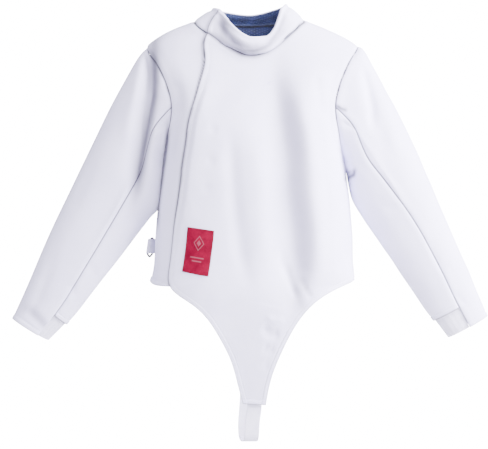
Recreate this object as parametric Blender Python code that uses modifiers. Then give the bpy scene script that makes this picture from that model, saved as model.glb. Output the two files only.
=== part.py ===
# A fencing jacket, hollow and filled out as if worn, built piece by piece as it is cut and sewn.
# Metres, +Z up, front towards -Y. The wearer's left is +X. The origin is the middle of the neck
# opening, level with where the shoulders carry the jacket.
#
# Places on the body are given as a turn and a height. The turn goes round the body in degrees:
# 0 is the middle of the front, 90 the wearer's left side, 180 the back, 270 or -90 the right side.

import math
from collections import namedtuple

import bmesh
import bpy
from mathutils import Vector

# Cloth thicknesses and seam gap
WALL = 0.0020
LINING_WALL = 0.0010
INSERT_WALL = 0.0018
WEBBING_WALL = 0.0018
LABEL_WALL = 0.0008
SEAM_GAP = 0.0006
SLEEVE_SEAM_GAP = 0.0012
ARMHOLE_GAP = 0.0010
COLLAR_SEAM_GAP = 0.0010
LAYER_GAP = 0.0005

# How squarely the sections of the body and of the sleeves turn their corners: 2 is an ellipse
BODY_SQUARENESS = 2.25
SLEEVE_SQUARENESS = 2.15

# Share of a column or row that the narrow strip along each cut edge takes up
EDGE_STRIP = 0.14

# Heights of the main stations
SHOULDER_TIP_HEIGHT = -0.042
UNDERARM_HEIGHT = -0.290
SIDE_HEM_HEIGHT = -0.520
BACK_HEM_HEIGHT = -0.540

# Rows of the cloth grid between those stations
SHOULDER_ROWS = 3
ARMHOLE_ROWS = 12
SIDE_ROWS = 8
BODY_ROWS = SHOULDER_ROWS + ARMHOLE_ROWS + SIDE_ROWS

# Columns of the cloth grid
FRONT_COLUMNS = 20
SIDE_FRONT_COLUMNS = 6
LAP_COLUMNS = 3
BACK_COLUMNS = 18
COLLAR_ROWS = 3
SLEEVE_ROWS = 15

# The flap: where the front panel lies over the side front
NECK_FLAP_TURN = -27.0
LAP_TURN = 14.0
LAP_RADIUS = 0.14
LAP_RISE = 0.0012
LAP_SINK = 0.0021
LAP_DEPTH = 0.0037
LAP_FADE = 0.020
LAP_APPROACH = 0.014
LAP_SLANT_ROWS = 6

# The turned hem of the right side stands a little away from the body
HEM_FLARE = 0.0035
HEM_FLARE_HEIGHT = 0.016

# Collar rim, seen from above
RIM_CENTRE = -0.0047
RIM_HALF_WIDTH = 0.073
RIM_FRONT = 0.066
RIM_BACK = 0.038
COLLAR_BULGE = 0.004
COLLAR_LINING_LOW = 0.05
COLLAR_LINING_HIGH = 0.93

# Back neck lining, counted in rows and columns of the back panel
NECK_LINING_ROWS = 5
NECK_LINING_MARGIN = 5

# Sleeve seams where they leave the armhole, in degrees round the sleeve
FRONT_SEAM_START = 105.0
BACK_SEAM_START = 255.0
SLEEVE_STEP = 15.0
INSERT_TUCK = 0.35
INSERT_COLUMNS = 10
INSERT_INSET = 0.0030

# Crotch strap
STRAP_WIDTH = 0.029

# Side tab and ring
TAB_HEIGHT = 0.030
TAB_TILT = 8.0
RING_WIRE = 0.0012
RING_HALF_HEIGHT = 0.0200
RING_BAR_HALF_HEIGHT = 0.0135
RING_HALF_WIDTH = 0.0058

# Label on the front panel, corner by corner from the upper right side of the wearer
LABEL_COLUMNS = 4
LABEL_ROWS = 6

Level = namedtuple("Level", "height centre half_width front back")
BODY_LEVELS = [
    Level(0.025, -0.004, 0.078, 0.045, 0.055),
    Level(0.009, -0.003, 0.112, 0.048, 0.058),
    Level(-0.005, -0.003, 0.151, 0.052, 0.062),
    Level(-0.022, -0.002, 0.186, 0.058, 0.070),
    Level(-0.041, -0.001, 0.214, 0.064, 0.080),
    Level(-0.060, 0.000, 0.224, 0.070, 0.088),
    Level(-0.090, 0.001, 0.226, 0.082, 0.097),
    Level(-0.130, 0.002, 0.216, 0.096, 0.104),
    Level(-0.170, 0.003, 0.201, 0.106, 0.107),
    Level(-0.210, 0.003, 0.189, 0.112, 0.105),
    Level(-0.250, 0.0035, 0.183, 0.115, 0.102),
    Level(-0.300, 0.005, 0.186, 0.115, 0.096),
    Level(-0.360, 0.006, 0.193, 0.112, 0.091),
    Level(-0.430, 0.006, 0.199, 0.109, 0.090),
    Level(-0.480, 0.004, 0.202, 0.109, 0.095),
    Level(-0.531, 0.002, 0.207, 0.110, 0.103),
    Level(-0.600, 0.002, 0.207, 0.104, 0.103),
    Level(-0.700, 0.003, 0.200, 0.084, 0.100),
    Level(-0.780, 0.003, 0.190, 0.062, 0.100),
    Level(-0.860, 0.003, 0.180, 0.040, 0.100),
]

# Neck seam round the body
NeckPlace = namedtuple("NeckPlace", "turn height")
NECK = [
    NeckPlace(-90.0, 0.010),
    NeckPlace(-54.0, 0.001),
    NeckPlace(-27.0, -0.0225),
    NeckPlace(-17.0, -0.0385),
    NeckPlace(-9.0, -0.0595),
    NeckPlace(-1.0, -0.0715),
    NeckPlace(5.0, -0.0660),
    NeckPlace(12.0, -0.0510),
    NeckPlace(24.0, -0.0240),
    NeckPlace(45.0, -0.0010),
    NeckPlace(90.0, 0.012),
    NeckPlace(135.0, 0.012),
    NeckPlace(180.0, 0.008),
    NeckPlace(225.0, 0.011),
    NeckPlace(270.0, 0.010),
]

# Collar rim round the neck
RimPlace = namedtuple("RimPlace", "turn height")
RIM = [
    RimPlace(-90.0, 0.0376),
    RimPlace(-62.0, 0.0310),
    RimPlace(-27.0, -0.0068),
    RimPlace(-12.0, -0.0222),
    RimPlace(3.0, -0.0303),
    RimPlace(27.0, -0.0273),
    RimPlace(41.0, -0.0118),
    RimPlace(51.0, 0.0110),
    RimPlace(61.0, 0.0324),
    RimPlace(90.0, 0.0440),
    RimPlace(135.0, 0.0370),
    RimPlace(180.0, 0.0276),
    RimPlace(225.0, 0.0330),
    RimPlace(270.0, 0.0376),
]

# Armhole from the shoulder tip down to the underarm, a row for each step round the sleeve
ArmholePlace = namedtuple("ArmholePlace", "height front_turn back_turn")
ARMHOLE = [
    ArmholePlace(-0.042, 90.0, 90.0),
    ArmholePlace(-0.046, 79.0, 101.0),
    ArmholePlace(-0.057, 67.0, 112.5),
    ArmholePlace(-0.075, 58.0, 121.0),
    ArmholePlace(-0.098, 52.8, 126.0),
    ArmholePlace(-0.123, 50.6, 127.6),
    ArmholePlace(-0.148, 50.6, 127.6),
    ArmholePlace(-0.172, 52.6, 125.7),
    ArmholePlace(-0.197, 56.9, 121.8),
    ArmholePlace(-0.221, 63.4, 115.8),
    ArmholePlace(-0.246, 71.0, 108.5),
    ArmholePlace(-0.269, 79.5, 100.0),
    ArmholePlace(-0.290, 90.0, 90.0),
]

# Free edge of the flap, from the neck to the hem
FlapPlace = namedtuple("FlapPlace", "row height turn")
FLAP = [
    FlapPlace(0, -0.0225, -27.0),
    FlapPlace(3, -0.0780, -24.1),
    FlapPlace(5, -0.1272, -28.6),
    FlapPlace(9, -0.1983, -39.8),
    FlapPlace(11, -0.2308, -43.7),
    FlapPlace(15, -0.3000, -48.2),
    FlapPlace(17, -0.3580, -49.4),
    FlapPlace(19, -0.4140, -51.9),
    FlapPlace(21, -0.4700, -52.7),
    FlapPlace(23, -0.5310, -52.1),
]

# Edges of the groin point, a row of the cloth grid for each
PointPlace = namedtuple("PointPlace", "right_turn right_height left_turn left_height")
GROIN_POINT = [
    PointPlace(-42.4, -0.5507, 66.0, -0.5250),
    PointPlace(-34.0, -0.5671, 46.3, -0.5415),
    PointPlace(-28.3, -0.5840, 36.3, -0.5597),
    PointPlace(-23.8, -0.6024, 29.5, -0.5809),
    PointPlace(-19.6, -0.6273, 23.2, -0.6088),
    PointPlace(-15.6, -0.6554, 18.1, -0.6429),
    PointPlace(-12.3, -0.6837, 13.8, -0.6775),
    PointPlace(-9.9, -0.7186, 10.6, -0.7080),
    PointPlace(-8.2, -0.7440, 8.7, -0.7380),
    PointPlace(-6.4, -0.7660, 7.3, -0.7690),
]

# Largest hanging folds of the body: soft troughs, or ridges where the depth is below zero
Fold = namedtuple("Fold", "top_turn middle_turn low_turn top_height low_height width depth")
BODY_FOLDS = [
    Fold(14.0, 24.0, 27.0, -0.070, -0.560, 0.017, 0.0050),
    Fold(-11.0, -11.5, -12.0, -0.140, -0.640, 0.024, 0.0025),
    Fold(38.0, 44.0, 50.0, -0.060, -0.200, 0.015, 0.0025),
    Fold(-78.0, -76.0, -74.0, -0.330, -0.520, 0.016, 0.0025),
    Fold(149.0, 155.0, 158.0, -0.070, -0.530, 0.018, 0.0045),
    Fold(212.0, 204.0, 200.0, -0.080, -0.500, 0.020, 0.0040),
    Fold(181.0, 178.0, 176.0, -0.260, -0.450, 0.016, 0.0030),
    Fold(120.0, 116.0, 112.0, -0.330, -0.520, 0.017, 0.0030),
]

# Sleeve sections: the outer and inner edges seen from the front, the half depths and the seams
Section = namedtuple(
    "Section", "outer_x outer_height inner_x inner_height front back front_seam back_seam")
LEFT_SLEEVE = [
    Section(0.2280, -0.0460, 0.1935, -0.3000, 0.063, 0.064, 106.0, 254.0),
    Section(0.2490, -0.0870, 0.1980, -0.3280, 0.059, 0.061, 105.0, 255.0),
    Section(0.2770, -0.1380, 0.2040, -0.3550, 0.056, 0.058, 104.0, 256.0),
    Section(0.3030, -0.1860, 0.2190, -0.3810, 0.053, 0.055, 100.0, 258.0),
    Section(0.3350, -0.2530, 0.2430, -0.4190, 0.050, 0.052, 94.0, 262.0),
    Section(0.3660, -0.3230, 0.2770, -0.4660, 0.046, 0.048, 88.0, 266.0),
    Section(0.4016, -0.4080, 0.3090, -0.5150, 0.042, 0.043, 84.0, 270.0),
    Section(0.4270, -0.4640, 0.3330, -0.5500, 0.038, 0.038, 84.0, 272.0),
    Section(0.4500, -0.5140, 0.3530, -0.5810, 0.034, 0.034, 86.0, 272.0),
    Section(0.4645, -0.5515, 0.3720, -0.6035, 0.031, 0.031, 87.0, 272.0),
    Section(0.4820, -0.5935, 0.3997, -0.6397, 0.027, 0.027, 88.0, 272.0),
]
RIGHT_SLEEVE = [
    Section(-0.2290, -0.0545, -0.1845, -0.3000, 0.063, 0.064, 106.0, 254.0),
    Section(-0.2480, -0.0890, -0.1875, -0.3280, 0.059, 0.061, 107.0, 253.0),
    Section(-0.2710, -0.1320, -0.1910, -0.3600, 0.056, 0.058, 109.0, 251.0),
    Section(-0.2930, -0.1730, -0.2050, -0.3880, 0.053, 0.055, 111.0, 249.0),
    Section(-0.3250, -0.2400, -0.2330, -0.4240, 0.050, 0.052, 112.0, 248.0),
    Section(-0.3620, -0.3140, -0.2690, -0.4720, 0.046, 0.048, 114.0, 246.0),
    Section(-0.4010, -0.3950, -0.3070, -0.5210, 0.042, 0.043, 116.0, 244.0),
    Section(-0.4250, -0.4500, -0.3330, -0.5550, 0.038, 0.038, 117.0, 243.0),
    Section(-0.4460, -0.4990, -0.3580, -0.5870, 0.034, 0.034, 118.0, 242.0),
    Section(-0.4630, -0.5380, -0.3800, -0.6110, 0.031, 0.031, 118.0, 242.0),
    Section(-0.4905, -0.5990, -0.4145, -0.6456, 0.027, 0.027, 118.0, 242.0),
]

# Largest folds of the sleeves: turns round the sleeve and shares of the sleeve's sections
SleeveFold = namedtuple("SleeveFold", "top_turn low_turn top_row low_row width depth")
LEFT_SLEEVE_FOLDS = [
    SleeveFold(48.0, 78.0, 0.6, 4.2, 13.0, 0.0035),
    SleeveFold(128.0, 140.0, 2.0, 5.5, 12.0, 0.0030),
    SleeveFold(300.0, 285.0, 0.8, 5.0, 14.0, 0.0040),
    SleeveFold(215.0, 205.0, 3.5, 8.0, 12.0, 0.0030),
]
RIGHT_SLEEVE_FOLDS = [
    SleeveFold(52.0, 98.0, 0.6, 4.4, 14.0, 0.0045),
    SleeveFold(58.0, 70.0, 8.0, 10.4, 12.0, 0.0025),
    SleeveFold(304.0, 282.0, 0.8, 4.6, 14.0, 0.0040),
    SleeveFold(222.0, 208.0, 3.0, 7.5, 12.0, 0.0030),
]

# Crotch strap's middle line between its sewn ends: down from the groin point, under, and up
StrapPlace = namedtuple("StrapPlace", "across depth height")
STRAP = [
    StrapPlace(0.0008, -0.0575, -0.8050),
    StrapPlace(-0.0005, -0.0560, -0.8290),
    StrapPlace(-0.0030, -0.0490, -0.8430),
    StrapPlace(-0.0080, -0.0390, -0.8450),
    StrapPlace(-0.0130, -0.0300, -0.8360),
    StrapPlace(-0.0140, -0.0220, -0.8130),
    StrapPlace(-0.0110, -0.0060, -0.7700),
    StrapPlace(-0.0070, 0.0220, -0.7000),
    StrapPlace(-0.0030, 0.0600, -0.6180),
    StrapPlace(0.0000, 0.0860, -0.5700),
]
STRAP_FRONT_HEIGHTS = (-0.7480, -0.7740)
STRAP_BACK_HEIGHTS = (-0.5360, -0.5150)
STRAP_FRONT_GAP = 0.0007
STRAP_BACK_GAP = 0.0014
STRAP_ROWS_PER_STEP = 2

# Label corners on the front panel
LabelCorner = namedtuple("LabelCorner", "turn height")
LABEL_UPPER_RIGHT = LabelCorner(-39.9, -0.4110)
LABEL_UPPER_LEFT = LabelCorner(-23.6, -0.4196)
LABEL_LOWER_LEFT = LabelCorner(-25.1, -0.5100)
LABEL_LOWER_RIGHT = LabelCorner(-41.3, -0.5010)

# Side tab seen from above, about the ring's middle: along it towards the body, and aside from it
TabPlace = namedtuple("TabPlace", "along aside")
TAB_LOOP = [
    TabPlace(0.0140, 0.0030),
    TabPlace(0.0070, 0.0030),
    TabPlace(0.0000, 0.0030),
    TabPlace(-0.0045, 0.0030),
    TabPlace(-0.0073, 0.0020),
    TabPlace(-0.0083, 0.0000),
    TabPlace(-0.0073, -0.0020),
    TabPlace(-0.0045, -0.0030),
    TabPlace(0.0000, -0.0030),
    TabPlace(0.0070, -0.0030),
    TabPlace(0.0120, -0.0026),
]
TAB_ROOT_TURNS = (235.0, 240.0, 245.0)
RING_CENTRE = Vector((-0.2085, 0.0228, -0.4516))
RING_HEADING = 30.0

CLOTH_WHITE = (0.86, 0.86, 0.89, 1.0)
ELASTIC_WHITE = (0.80, 0.80, 0.84, 1.0)
LINING_NAVY = (0.030, 0.060, 0.220, 1.0)
LABEL_CRIMSON = (0.450, 0.000, 0.045, 1.0)
RING_STEEL = (0.100, 0.100, 0.110, 1.0)


class Curve:
    """A smooth line through a short table that never overshoots its rows."""

    def __init__(self, places, values):
        pairs = sorted(zip(places, values))
        self.places = [place for place, value in pairs]
        self.values = [value for place, value in pairs]
        self.steps = [b - a for a, b in zip(self.places, self.places[1:])]
        rises = [(b - a) / step for a, b, step in zip(self.values, self.values[1:], self.steps)]
        self.slopes = [rises[0]]
        for before, after in zip(rises, rises[1:]):
            level = before * after <= 0.0
            self.slopes.append(0.0 if level else 2.0 * before * after / (before + after))
        self.slopes.append(rises[-1])

    def __call__(self, place):
        place = min(max(place, self.places[0]), self.places[-1])
        index = 0
        while index < len(self.steps) - 1 and place > self.places[index + 1]:
            index += 1
        step = self.steps[index]
        t = (place - self.places[index]) / step
        return ((2 * t ** 3 - 3 * t ** 2 + 1) * self.values[index]
                + (t ** 3 - 2 * t ** 2 + t) * step * self.slopes[index]
                + (-2 * t ** 3 + 3 * t ** 2) * self.values[index + 1]
                + (t ** 3 - t ** 2) * step * self.slopes[index + 1])


def curve_of(table, key, field):
    """Smooth line through one column of a table, over another."""
    return Curve([getattr(row, key) for row in table], [getattr(row, field) for row in table])


def mix(a, b, share):
    return a + (b - a) * share


def clamp(value):
    return min(max(value, 0.0), 1.0)


def strip_places(count, low_strip=True, high_strip=True):
    """Whole numbers up to count, with a narrow strip beside each cut edge."""
    places = [float(place) for place in range(count + 1)]
    if low_strip:
        places.insert(1, EDGE_STRIP)
    if high_strip:
        places.insert(len(places) - 1, count - EDGE_STRIP)
    return places


LEVEL_CURVES = [curve_of(BODY_LEVELS, "height", field) for field in Level._fields[1:]]
NECK_CURVE = curve_of(NECK, "turn", "height")
RIM_CURVE = curve_of(RIM, "turn", "height")
FLAP_HEIGHT = curve_of(FLAP, "row", "height")
FLAP_TURN = curve_of(FLAP, "height", "turn")


def wrapped(turn):
    """The same turn, counted from the right side round to the right side again."""
    return (turn + 90.0) % 360.0 - 90.0


def neck_height(turn):
    return NECK_CURVE(wrapped(turn))


def fold_depth(turn, height):
    """How far the hanging folds draw the cloth in at a place on the body."""
    total = 0.0
    for fold in BODY_FOLDS:
        share = (fold.top_height - height) / (fold.top_height - fold.low_height)
        if not -0.15 < share < 1.15:
            continue
        bend = fold.middle_turn - (fold.top_turn + fold.low_turn) / 2
        middle = mix(fold.top_turn, fold.low_turn, share) + 4 * share * (1 - share) * bend
        away = math.radians((turn - middle + 180) % 360 - 180) * LAP_RADIUS
        fade = clamp((share + 0.15) / 0.3) * clamp((1.15 - share) / 0.3)
        total += fold.depth * fade * math.exp(-(away / fold.width) ** 2)
    return total


def form_point(turn, height):
    """Place on the plain body form, without folds."""
    centre, half_width, front, back = [curve(height) for curve in LEVEL_CURVES]
    across = math.sin(math.radians(turn))
    along = math.cos(math.radians(turn))
    power = BODY_SQUARENESS
    reach = (abs(across) ** power + abs(along) ** power) ** (-1 / power)
    depth = front if along > 0 else back
    return Vector((centre + half_width * reach * across, -depth * reach * along, height))


def form_normal(turn, height):
    """Outward direction of the body form."""
    around = form_point(turn + 0.5, height) - form_point(turn - 0.5, height)
    upward = form_point(turn, height + 0.001) - form_point(turn, height - 0.001)
    return around.cross(upward).normalized()


def body_point(turn, height, lift=0.0):
    """Place on the outside of the cloth, raised by lift."""
    offset = lift - fold_depth(turn, height)
    return form_point(turn, height) + form_normal(turn, height) * offset


def lap_distance(turn, height):
    """Distance past the flap's edge, positive on the front panel's side."""
    around = (turn - FLAP_TURN(height) + 180) % 360 - 180
    return math.radians(around) * LAP_RADIUS


def front_lift(turn, height):
    """The front panel rises towards its flap edge, over the side front."""
    return LAP_RISE * clamp(1 - lap_distance(turn, height) / LAP_FADE)


def side_front_lift(turn, height):
    """The side front sinks below the flap and flares at its hem."""
    past = lap_distance(turn, height)
    if past < 0:
        sink = LAP_SINK * clamp(1 + past / LAP_APPROACH)
    else:
        sink = mix(LAP_SINK, LAP_DEPTH, clamp(past / LAP_FADE))
    flare = HEM_FLARE * clamp(1 - (height - SIDE_HEM_HEIGHT) / HEM_FLARE_HEIGHT) ** 2
    return flare * clamp(-past / LAP_FADE) - sink


def back_lift(turn, height):
    """The back flares at its hem towards the right side."""
    flare = HEM_FLARE * clamp(1 - (height - SIDE_HEM_HEIGHT) / HEM_FLARE_HEIGHT) ** 2
    return flare * clamp((turn - 225) / 35)


def seam_place(row, side, back=False):
    """Turn and height down the edge that shoulder, armhole and side seam make."""
    if row <= SHOULDER_ROWS:
        neck = neck_height(90.0 * side)
        turn = 90.0
        height = mix(neck, SHOULDER_TIP_HEIGHT, row / SHOULDER_ROWS)
    elif row <= SHOULDER_ROWS + ARMHOLE_ROWS:
        place = ARMHOLE[round(row - SHOULDER_ROWS)]
        turn = place.back_turn if back else place.front_turn
        height = place.height
    else:
        turn = 90.0
        share = (row - SHOULDER_ROWS - ARMHOLE_ROWS) / SIDE_ROWS
        height = mix(UNDERARM_HEIGHT, SIDE_HEM_HEIGHT, share)
    if side > 0:
        return turn, height
    return (360.0 - turn if back else -turn), height


def coons_grid(rows, columns, left, right, top, bottom, lift):
    """Cloth grid between four edges drawn on the body form."""
    last_row, last_column = rows[-1], columns[-1]
    corners = [top(0.0), top(last_column), bottom(0.0), bottom(last_column)]
    grid = []
    for row in rows:
        v = row / last_row
        line = []
        for column in columns:
            u = column / last_column
            place = []
            for axis in (0, 1):
                sides = mix(left(row)[axis], right(row)[axis], u)
                ends = mix(top(column)[axis], bottom(column)[axis], v)
                square = mix(mix(corners[0][axis], corners[1][axis], u),
                             mix(corners[2][axis], corners[3][axis], u), v)
                place.append(sides + ends - square)
            line.append(body_point(place[0], place[1], lift(*place)))
        grid.append(line)
    return grid


def pull_back(grid, distance, top=True, bottom=True, left=True, right=True):
    """Draw the named edges of a grid in, so that neighbours keep their seam gap."""
    def drawn(edge, inner):
        return [a + (b - a).normalized() * distance for a, b in zip(edge, inner)]
    if top:
        grid[0] = drawn(grid[0], grid[1])
    if bottom:
        grid[-1] = drawn(grid[-1], grid[-2])
    for wanted, edge, inner in ((left, 0, 1), (right, -1, -2)):
        if wanted:
            line = drawn([row[edge] for row in grid], [row[inner] for row in grid])
            for row, point in zip(grid, line):
                row[edge] = point
    return grid


def moved(grid, distance):
    """The grid shifted along its own outward direction."""
    result = []
    for i, row in enumerate(grid):
        above = grid[max(i - 1, 0)]
        below = grid[min(i + 1, len(grid) - 1)]
        line = []
        for j, point in enumerate(row):
            around = row[min(j + 1, len(row) - 1)] - row[max(j - 1, 0)]
            down = below[j] - above[j]
            line.append(point + down.cross(around).normalized() * distance)
        result.append(line)
    return result


def new_material(name, colour, roughness, metallic=0.0):
    material = bpy.data.materials.new(name)
    material.use_nodes = True
    shader = material.node_tree.nodes["Principled BSDF"]
    shader.inputs["Base Color"].default_value = colour
    shader.inputs["Roughness"].default_value = roughness
    shader.inputs["Metallic"].default_value = metallic
    material.diffuse_color = colour
    return material


def add_object(name, mesh, material):
    piece = bpy.data.objects.new(name, mesh)
    bpy.data.collections["fencing_jacket"].objects.link(piece)
    mesh.materials.append(material)
    return piece


def add_cloth(name, grid, wall, material, side=-1.0):
    """A grid of points as an open surface, with its wall added inwards, or both ways if side is 0."""
    mesh = bpy.data.meshes.new(name)
    shape = bmesh.new()
    lines = [[shape.verts.new(point) for point in row] for row in grid]
    for upper, lower in zip(lines, lines[1:]):
        for j in range(len(upper) - 1):
            shape.faces.new((upper[j], lower[j], lower[j + 1], upper[j + 1]))
    shape.normal_update()
    shape.to_mesh(mesh)
    shape.free()
    mesh.shade_smooth()
    piece = add_object(name, mesh, material)
    solidify = piece.modifiers.new("wall", "SOLIDIFY")
    solidify.thickness = wall
    solidify.offset = side
    solidify.use_rim = True
    solidify.use_quality_normals = True
    return piece


def front_columns():
    return strip_places(FRONT_COLUMNS)


def front_neck(column):
    turn = mix(NECK_FLAP_TURN, 90.0, column / FRONT_COLUMNS)
    return turn, neck_height(turn)


def front_grid():
    """The big front, from its flap edge to the left side seam, down to the groin point."""
    last_row = BODY_ROWS + len(GROIN_POINT)

    def flap_side(row):
        if row <= BODY_ROWS:
            height = FLAP_HEIGHT(row)
            return FLAP_TURN(height), height
        share = row - BODY_ROWS
        before = (FLAP[-1].turn, FLAP[-1].height)
        places = [before] + [(place.right_turn, place.right_height) for place in GROIN_POINT]
        return between(places, share)

    def seam_side(row):
        if row <= BODY_ROWS:
            return seam_place(row, 1)
        places = [(90.0, SIDE_HEM_HEIGHT)]
        places += [(place.left_turn, place.left_height) for place in GROIN_POINT]
        return between(places, row - BODY_ROWS)

    def groin(column):
        low = GROIN_POINT[-1]
        share = column / FRONT_COLUMNS
        return (mix(low.right_turn, low.left_turn, share),
                mix(low.right_height, low.left_height, share))

    grid = coons_grid(strip_places(last_row), front_columns(), flap_side, seam_side,
                      front_neck, groin, front_lift)
    return pull_back(grid, SEAM_GAP / 2, bottom=False, left=False)


def between(places, share):
    """Place part of the way along a list of turns and heights."""
    index = min(int(share), len(places) - 2)
    part = share - index
    first, second = places[index], places[index + 1]
    return mix(first[0], second[0], part), mix(first[1], second[1], part)


def side_front_neck(column):
    """Neck seam of the side front, from the right shoulder to its hidden edge."""
    if column <= SIDE_FRONT_COLUMNS:
        turn = mix(-90.0, NECK_FLAP_TURN, column / SIDE_FRONT_COLUMNS)
    else:
        share = (column - SIDE_FRONT_COLUMNS) / LAP_COLUMNS
        turn = mix(NECK_FLAP_TURN, NECK_FLAP_TURN + LAP_TURN, share)
    return turn, neck_height(turn)


def side_front_columns():
    return strip_places(SIDE_FRONT_COLUMNS + LAP_COLUMNS)


def side_front_grid():
    """The narrow right front, which runs on under the flap."""
    last_column = SIDE_FRONT_COLUMNS + LAP_COLUMNS
    hidden_turn = FLAP[-1].turn + LAP_TURN

    slant = neck_height(NECK_FLAP_TURN + LAP_TURN) - FLAP_HEIGHT(0)

    def hidden_side(row):
        height = FLAP_HEIGHT(row)
        return FLAP_TURN(height) + LAP_TURN, height + slant * clamp(1 - row / LAP_SLANT_ROWS)

    def hem(column):
        share = column / last_column
        drop = (FLAP[-1].height - SIDE_HEM_HEIGHT) * math.sin(math.pi / 2 * clamp(1.5 * share))
        return mix(-90.0, hidden_turn, share), SIDE_HEM_HEIGHT + drop

    def seam_side(row):
        return seam_place(row, -1)

    grid = coons_grid(strip_places(BODY_ROWS), side_front_columns(), seam_side, hidden_side,
                      side_front_neck, hem, side_front_lift)
    return pull_back(grid, SEAM_GAP / 2, bottom=False, right=False)


def back_neck(column):
    turn = mix(90.0, 270.0, column / BACK_COLUMNS)
    return turn, neck_height(turn)


def back_columns():
    return strip_places(BACK_COLUMNS)


def back_grid():
    """The back, from the left side seam round to the right one."""
    def hem(column):
        share = column / BACK_COLUMNS
        drop = (BACK_HEM_HEIGHT - SIDE_HEM_HEIGHT) * math.sin(math.pi * share)
        return mix(90.0, 270.0, share), SIDE_HEM_HEIGHT + drop

    def left_seam(row):
        return seam_place(row, 1, back=True)

    def right_seam(row):
        return seam_place(row, -1, back=True)

    grid = coons_grid(strip_places(BODY_ROWS), back_columns(), left_seam, right_seam,
                      back_neck, hem, back_lift)
    return pull_back(grid, SEAM_GAP / 2, bottom=False)


def rim_point(turn, lift):
    """Place on the collar's upper edge."""
    across = math.sin(math.radians(turn))
    along = math.cos(math.radians(turn))
    depth = RIM_FRONT if along > 0 else RIM_BACK
    x = RIM_CENTRE + (RIM_HALF_WIDTH + lift) * across
    return Vector((x, -(depth + lift) * along, RIM_CURVE(wrapped(turn))))


def collar_column(turn, lift):
    """The collar's line from the neck seam up to its rim."""
    base = body_point(turn, neck_height(turn), lift)
    heading = math.degrees(math.atan2(base.x - RIM_CENTRE, -base.y))
    while heading < turn - 180:
        heading += 360
    rim = rim_point(heading, lift)
    outward = Vector((math.sin(math.radians(heading)), -math.cos(math.radians(heading)), 0))
    line = []
    for row in strip_places(COLLAR_ROWS):
        share = row / COLLAR_ROWS
        bulge = COLLAR_BULGE * math.sin(math.pi * share)
        line.append(base.lerp(rim, share) + outward * bulge)
    return line


def collar_places():
    """Turn and lift along the collar's seam, and whether it is a main column."""
    places = []
    for column in front_columns():
        turn, height = front_neck(column)
        places.append((turn, front_lift(turn, height), column == int(column)))
    for column in back_columns()[1:]:
        turn = back_neck(column)[0]
        places.append((turn, 0.0, column == int(column)))
    for column in side_front_columns()[1:]:
        turn, height = side_front_neck(column)
        places.append((turn + 360.0, side_front_lift(turn, height), column == int(column)))
    return places


def collar_grid():
    """One strip round the neck, from the flap's edge and on past it, under its own start."""
    lines = [collar_column(turn, lift) for turn, lift, main_column in collar_places()]
    rows = [list(row) for row in zip(*lines)]
    rows.reverse()
    return pull_back(rows, COLLAR_SEAM_GAP / 2, top=False, left=False, right=False)


def collar_lining_grid(collar):
    """Inside of the collar, from its points, moved in and kept short of its edges."""
    inside = moved(collar, -(WALL + LAYER_GAP))
    chosen = [k for k, place in enumerate(collar_places()) if place[2]][LAP_COLUMNS:]
    trimmed = []
    for k in chosen:
        line = [row[k] for row in inside]
        trimmed.append([along(line, 1 - COLLAR_LINING_HIGH)] + line[2:-2]
                       + [along(line, 1 - COLLAR_LINING_LOW)])
    return [list(row) for row in zip(*trimmed)]


def along(line, share):
    """Point a share of the way from the first to the last point of a line."""
    lengths = [(b - a).length for a, b in zip(line, line[1:])]
    wanted = share * sum(lengths)
    for start, end, length in zip(line, line[1:], lengths):
        if wanted <= length:
            return start.lerp(end, wanted / length)
        wanted -= length
    return line[-1]


def neck_lining_grid(back):
    """Lining below the collar seam, from the back panel's points, moved in."""
    margin = NECK_LINING_MARGIN
    inside = moved([row[margin:-margin] for row in back[:NECK_LINING_ROWS + 1]],
                   -(WALL + LAYER_GAP))
    return pull_back(inside, SEAM_GAP, bottom=False, left=False, right=False)


def armhole_point(side, angle):
    """Place on the armhole's edge, by the angle round the sleeve."""
    back = angle > 180.0
    step = (360.0 - angle if back else angle) / SLEEVE_STEP
    index = min(int(step), len(ARMHOLE) - 2)
    ends = []
    for place in ARMHOLE[index:index + 2]:
        turn = place.back_turn if back else place.front_turn
        if side < 0:
            turn = 360.0 - turn if back else -turn
        ends.append(body_point(turn, place.height))
    return ends[0].lerp(ends[1], step - index)


def sleeve_curves(sections):
    places = range(1, len(sections) + 1)
    return [Curve(places, [section[k] for section in sections]) for k in range(len(Section._fields))]


def sleeve_fold(folds, angle, station):
    total = 0.0
    for fold in folds:
        share = (station - fold.top_row) / (fold.low_row - fold.top_row)
        fade = clamp((share + 0.1) / 0.25) * clamp((1.1 - share) / 0.25)
        away = (angle - mix(fold.top_turn, fold.low_turn, clamp(share))) / fold.width
        total += fold.depth * fade * math.exp(-away ** 2)
    return total


def sleeve_point(sections, folds, angle, station, inset=0.0):
    """Place on a sleeve, by the angle round it and the station along it, from 1 on."""
    curves = sleeve_curves(sections) if not callable(sections[0]) else sections
    outer_x, outer_z, inner_x, inner_z, front, back = [curve(station) for curve in curves[:6]]
    outer = Vector((outer_x, 0, outer_z))
    inner = Vector((inner_x, 0, inner_z))
    centre = (outer + inner) / 2
    axis = (outer - inner) / 2
    across = math.cos(math.radians(angle))
    along_depth = math.sin(math.radians(angle))
    power = SLEEVE_SQUARENESS
    reach = (abs(across) ** power + abs(along_depth) ** power) ** (-1 / power)
    depth = front if along_depth > 0 else back
    spoke = axis * (reach * across) + Vector((0, -depth * reach * along_depth, 0))
    drawn = inset + sleeve_fold(folds, angle, station)
    return centre + spoke * (1 - drawn / spoke.length)


def sleeve_stations(sections):
    """Rows of a sleeve from the armhole to where the cuff insert starts."""
    last = len(sections) - 1.0
    middle = [last * row / SLEEVE_ROWS for row in range(1, SLEEVE_ROWS)]
    return [0.0, EDGE_STRIP] + middle + [last - EDGE_STRIP, last]


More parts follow.
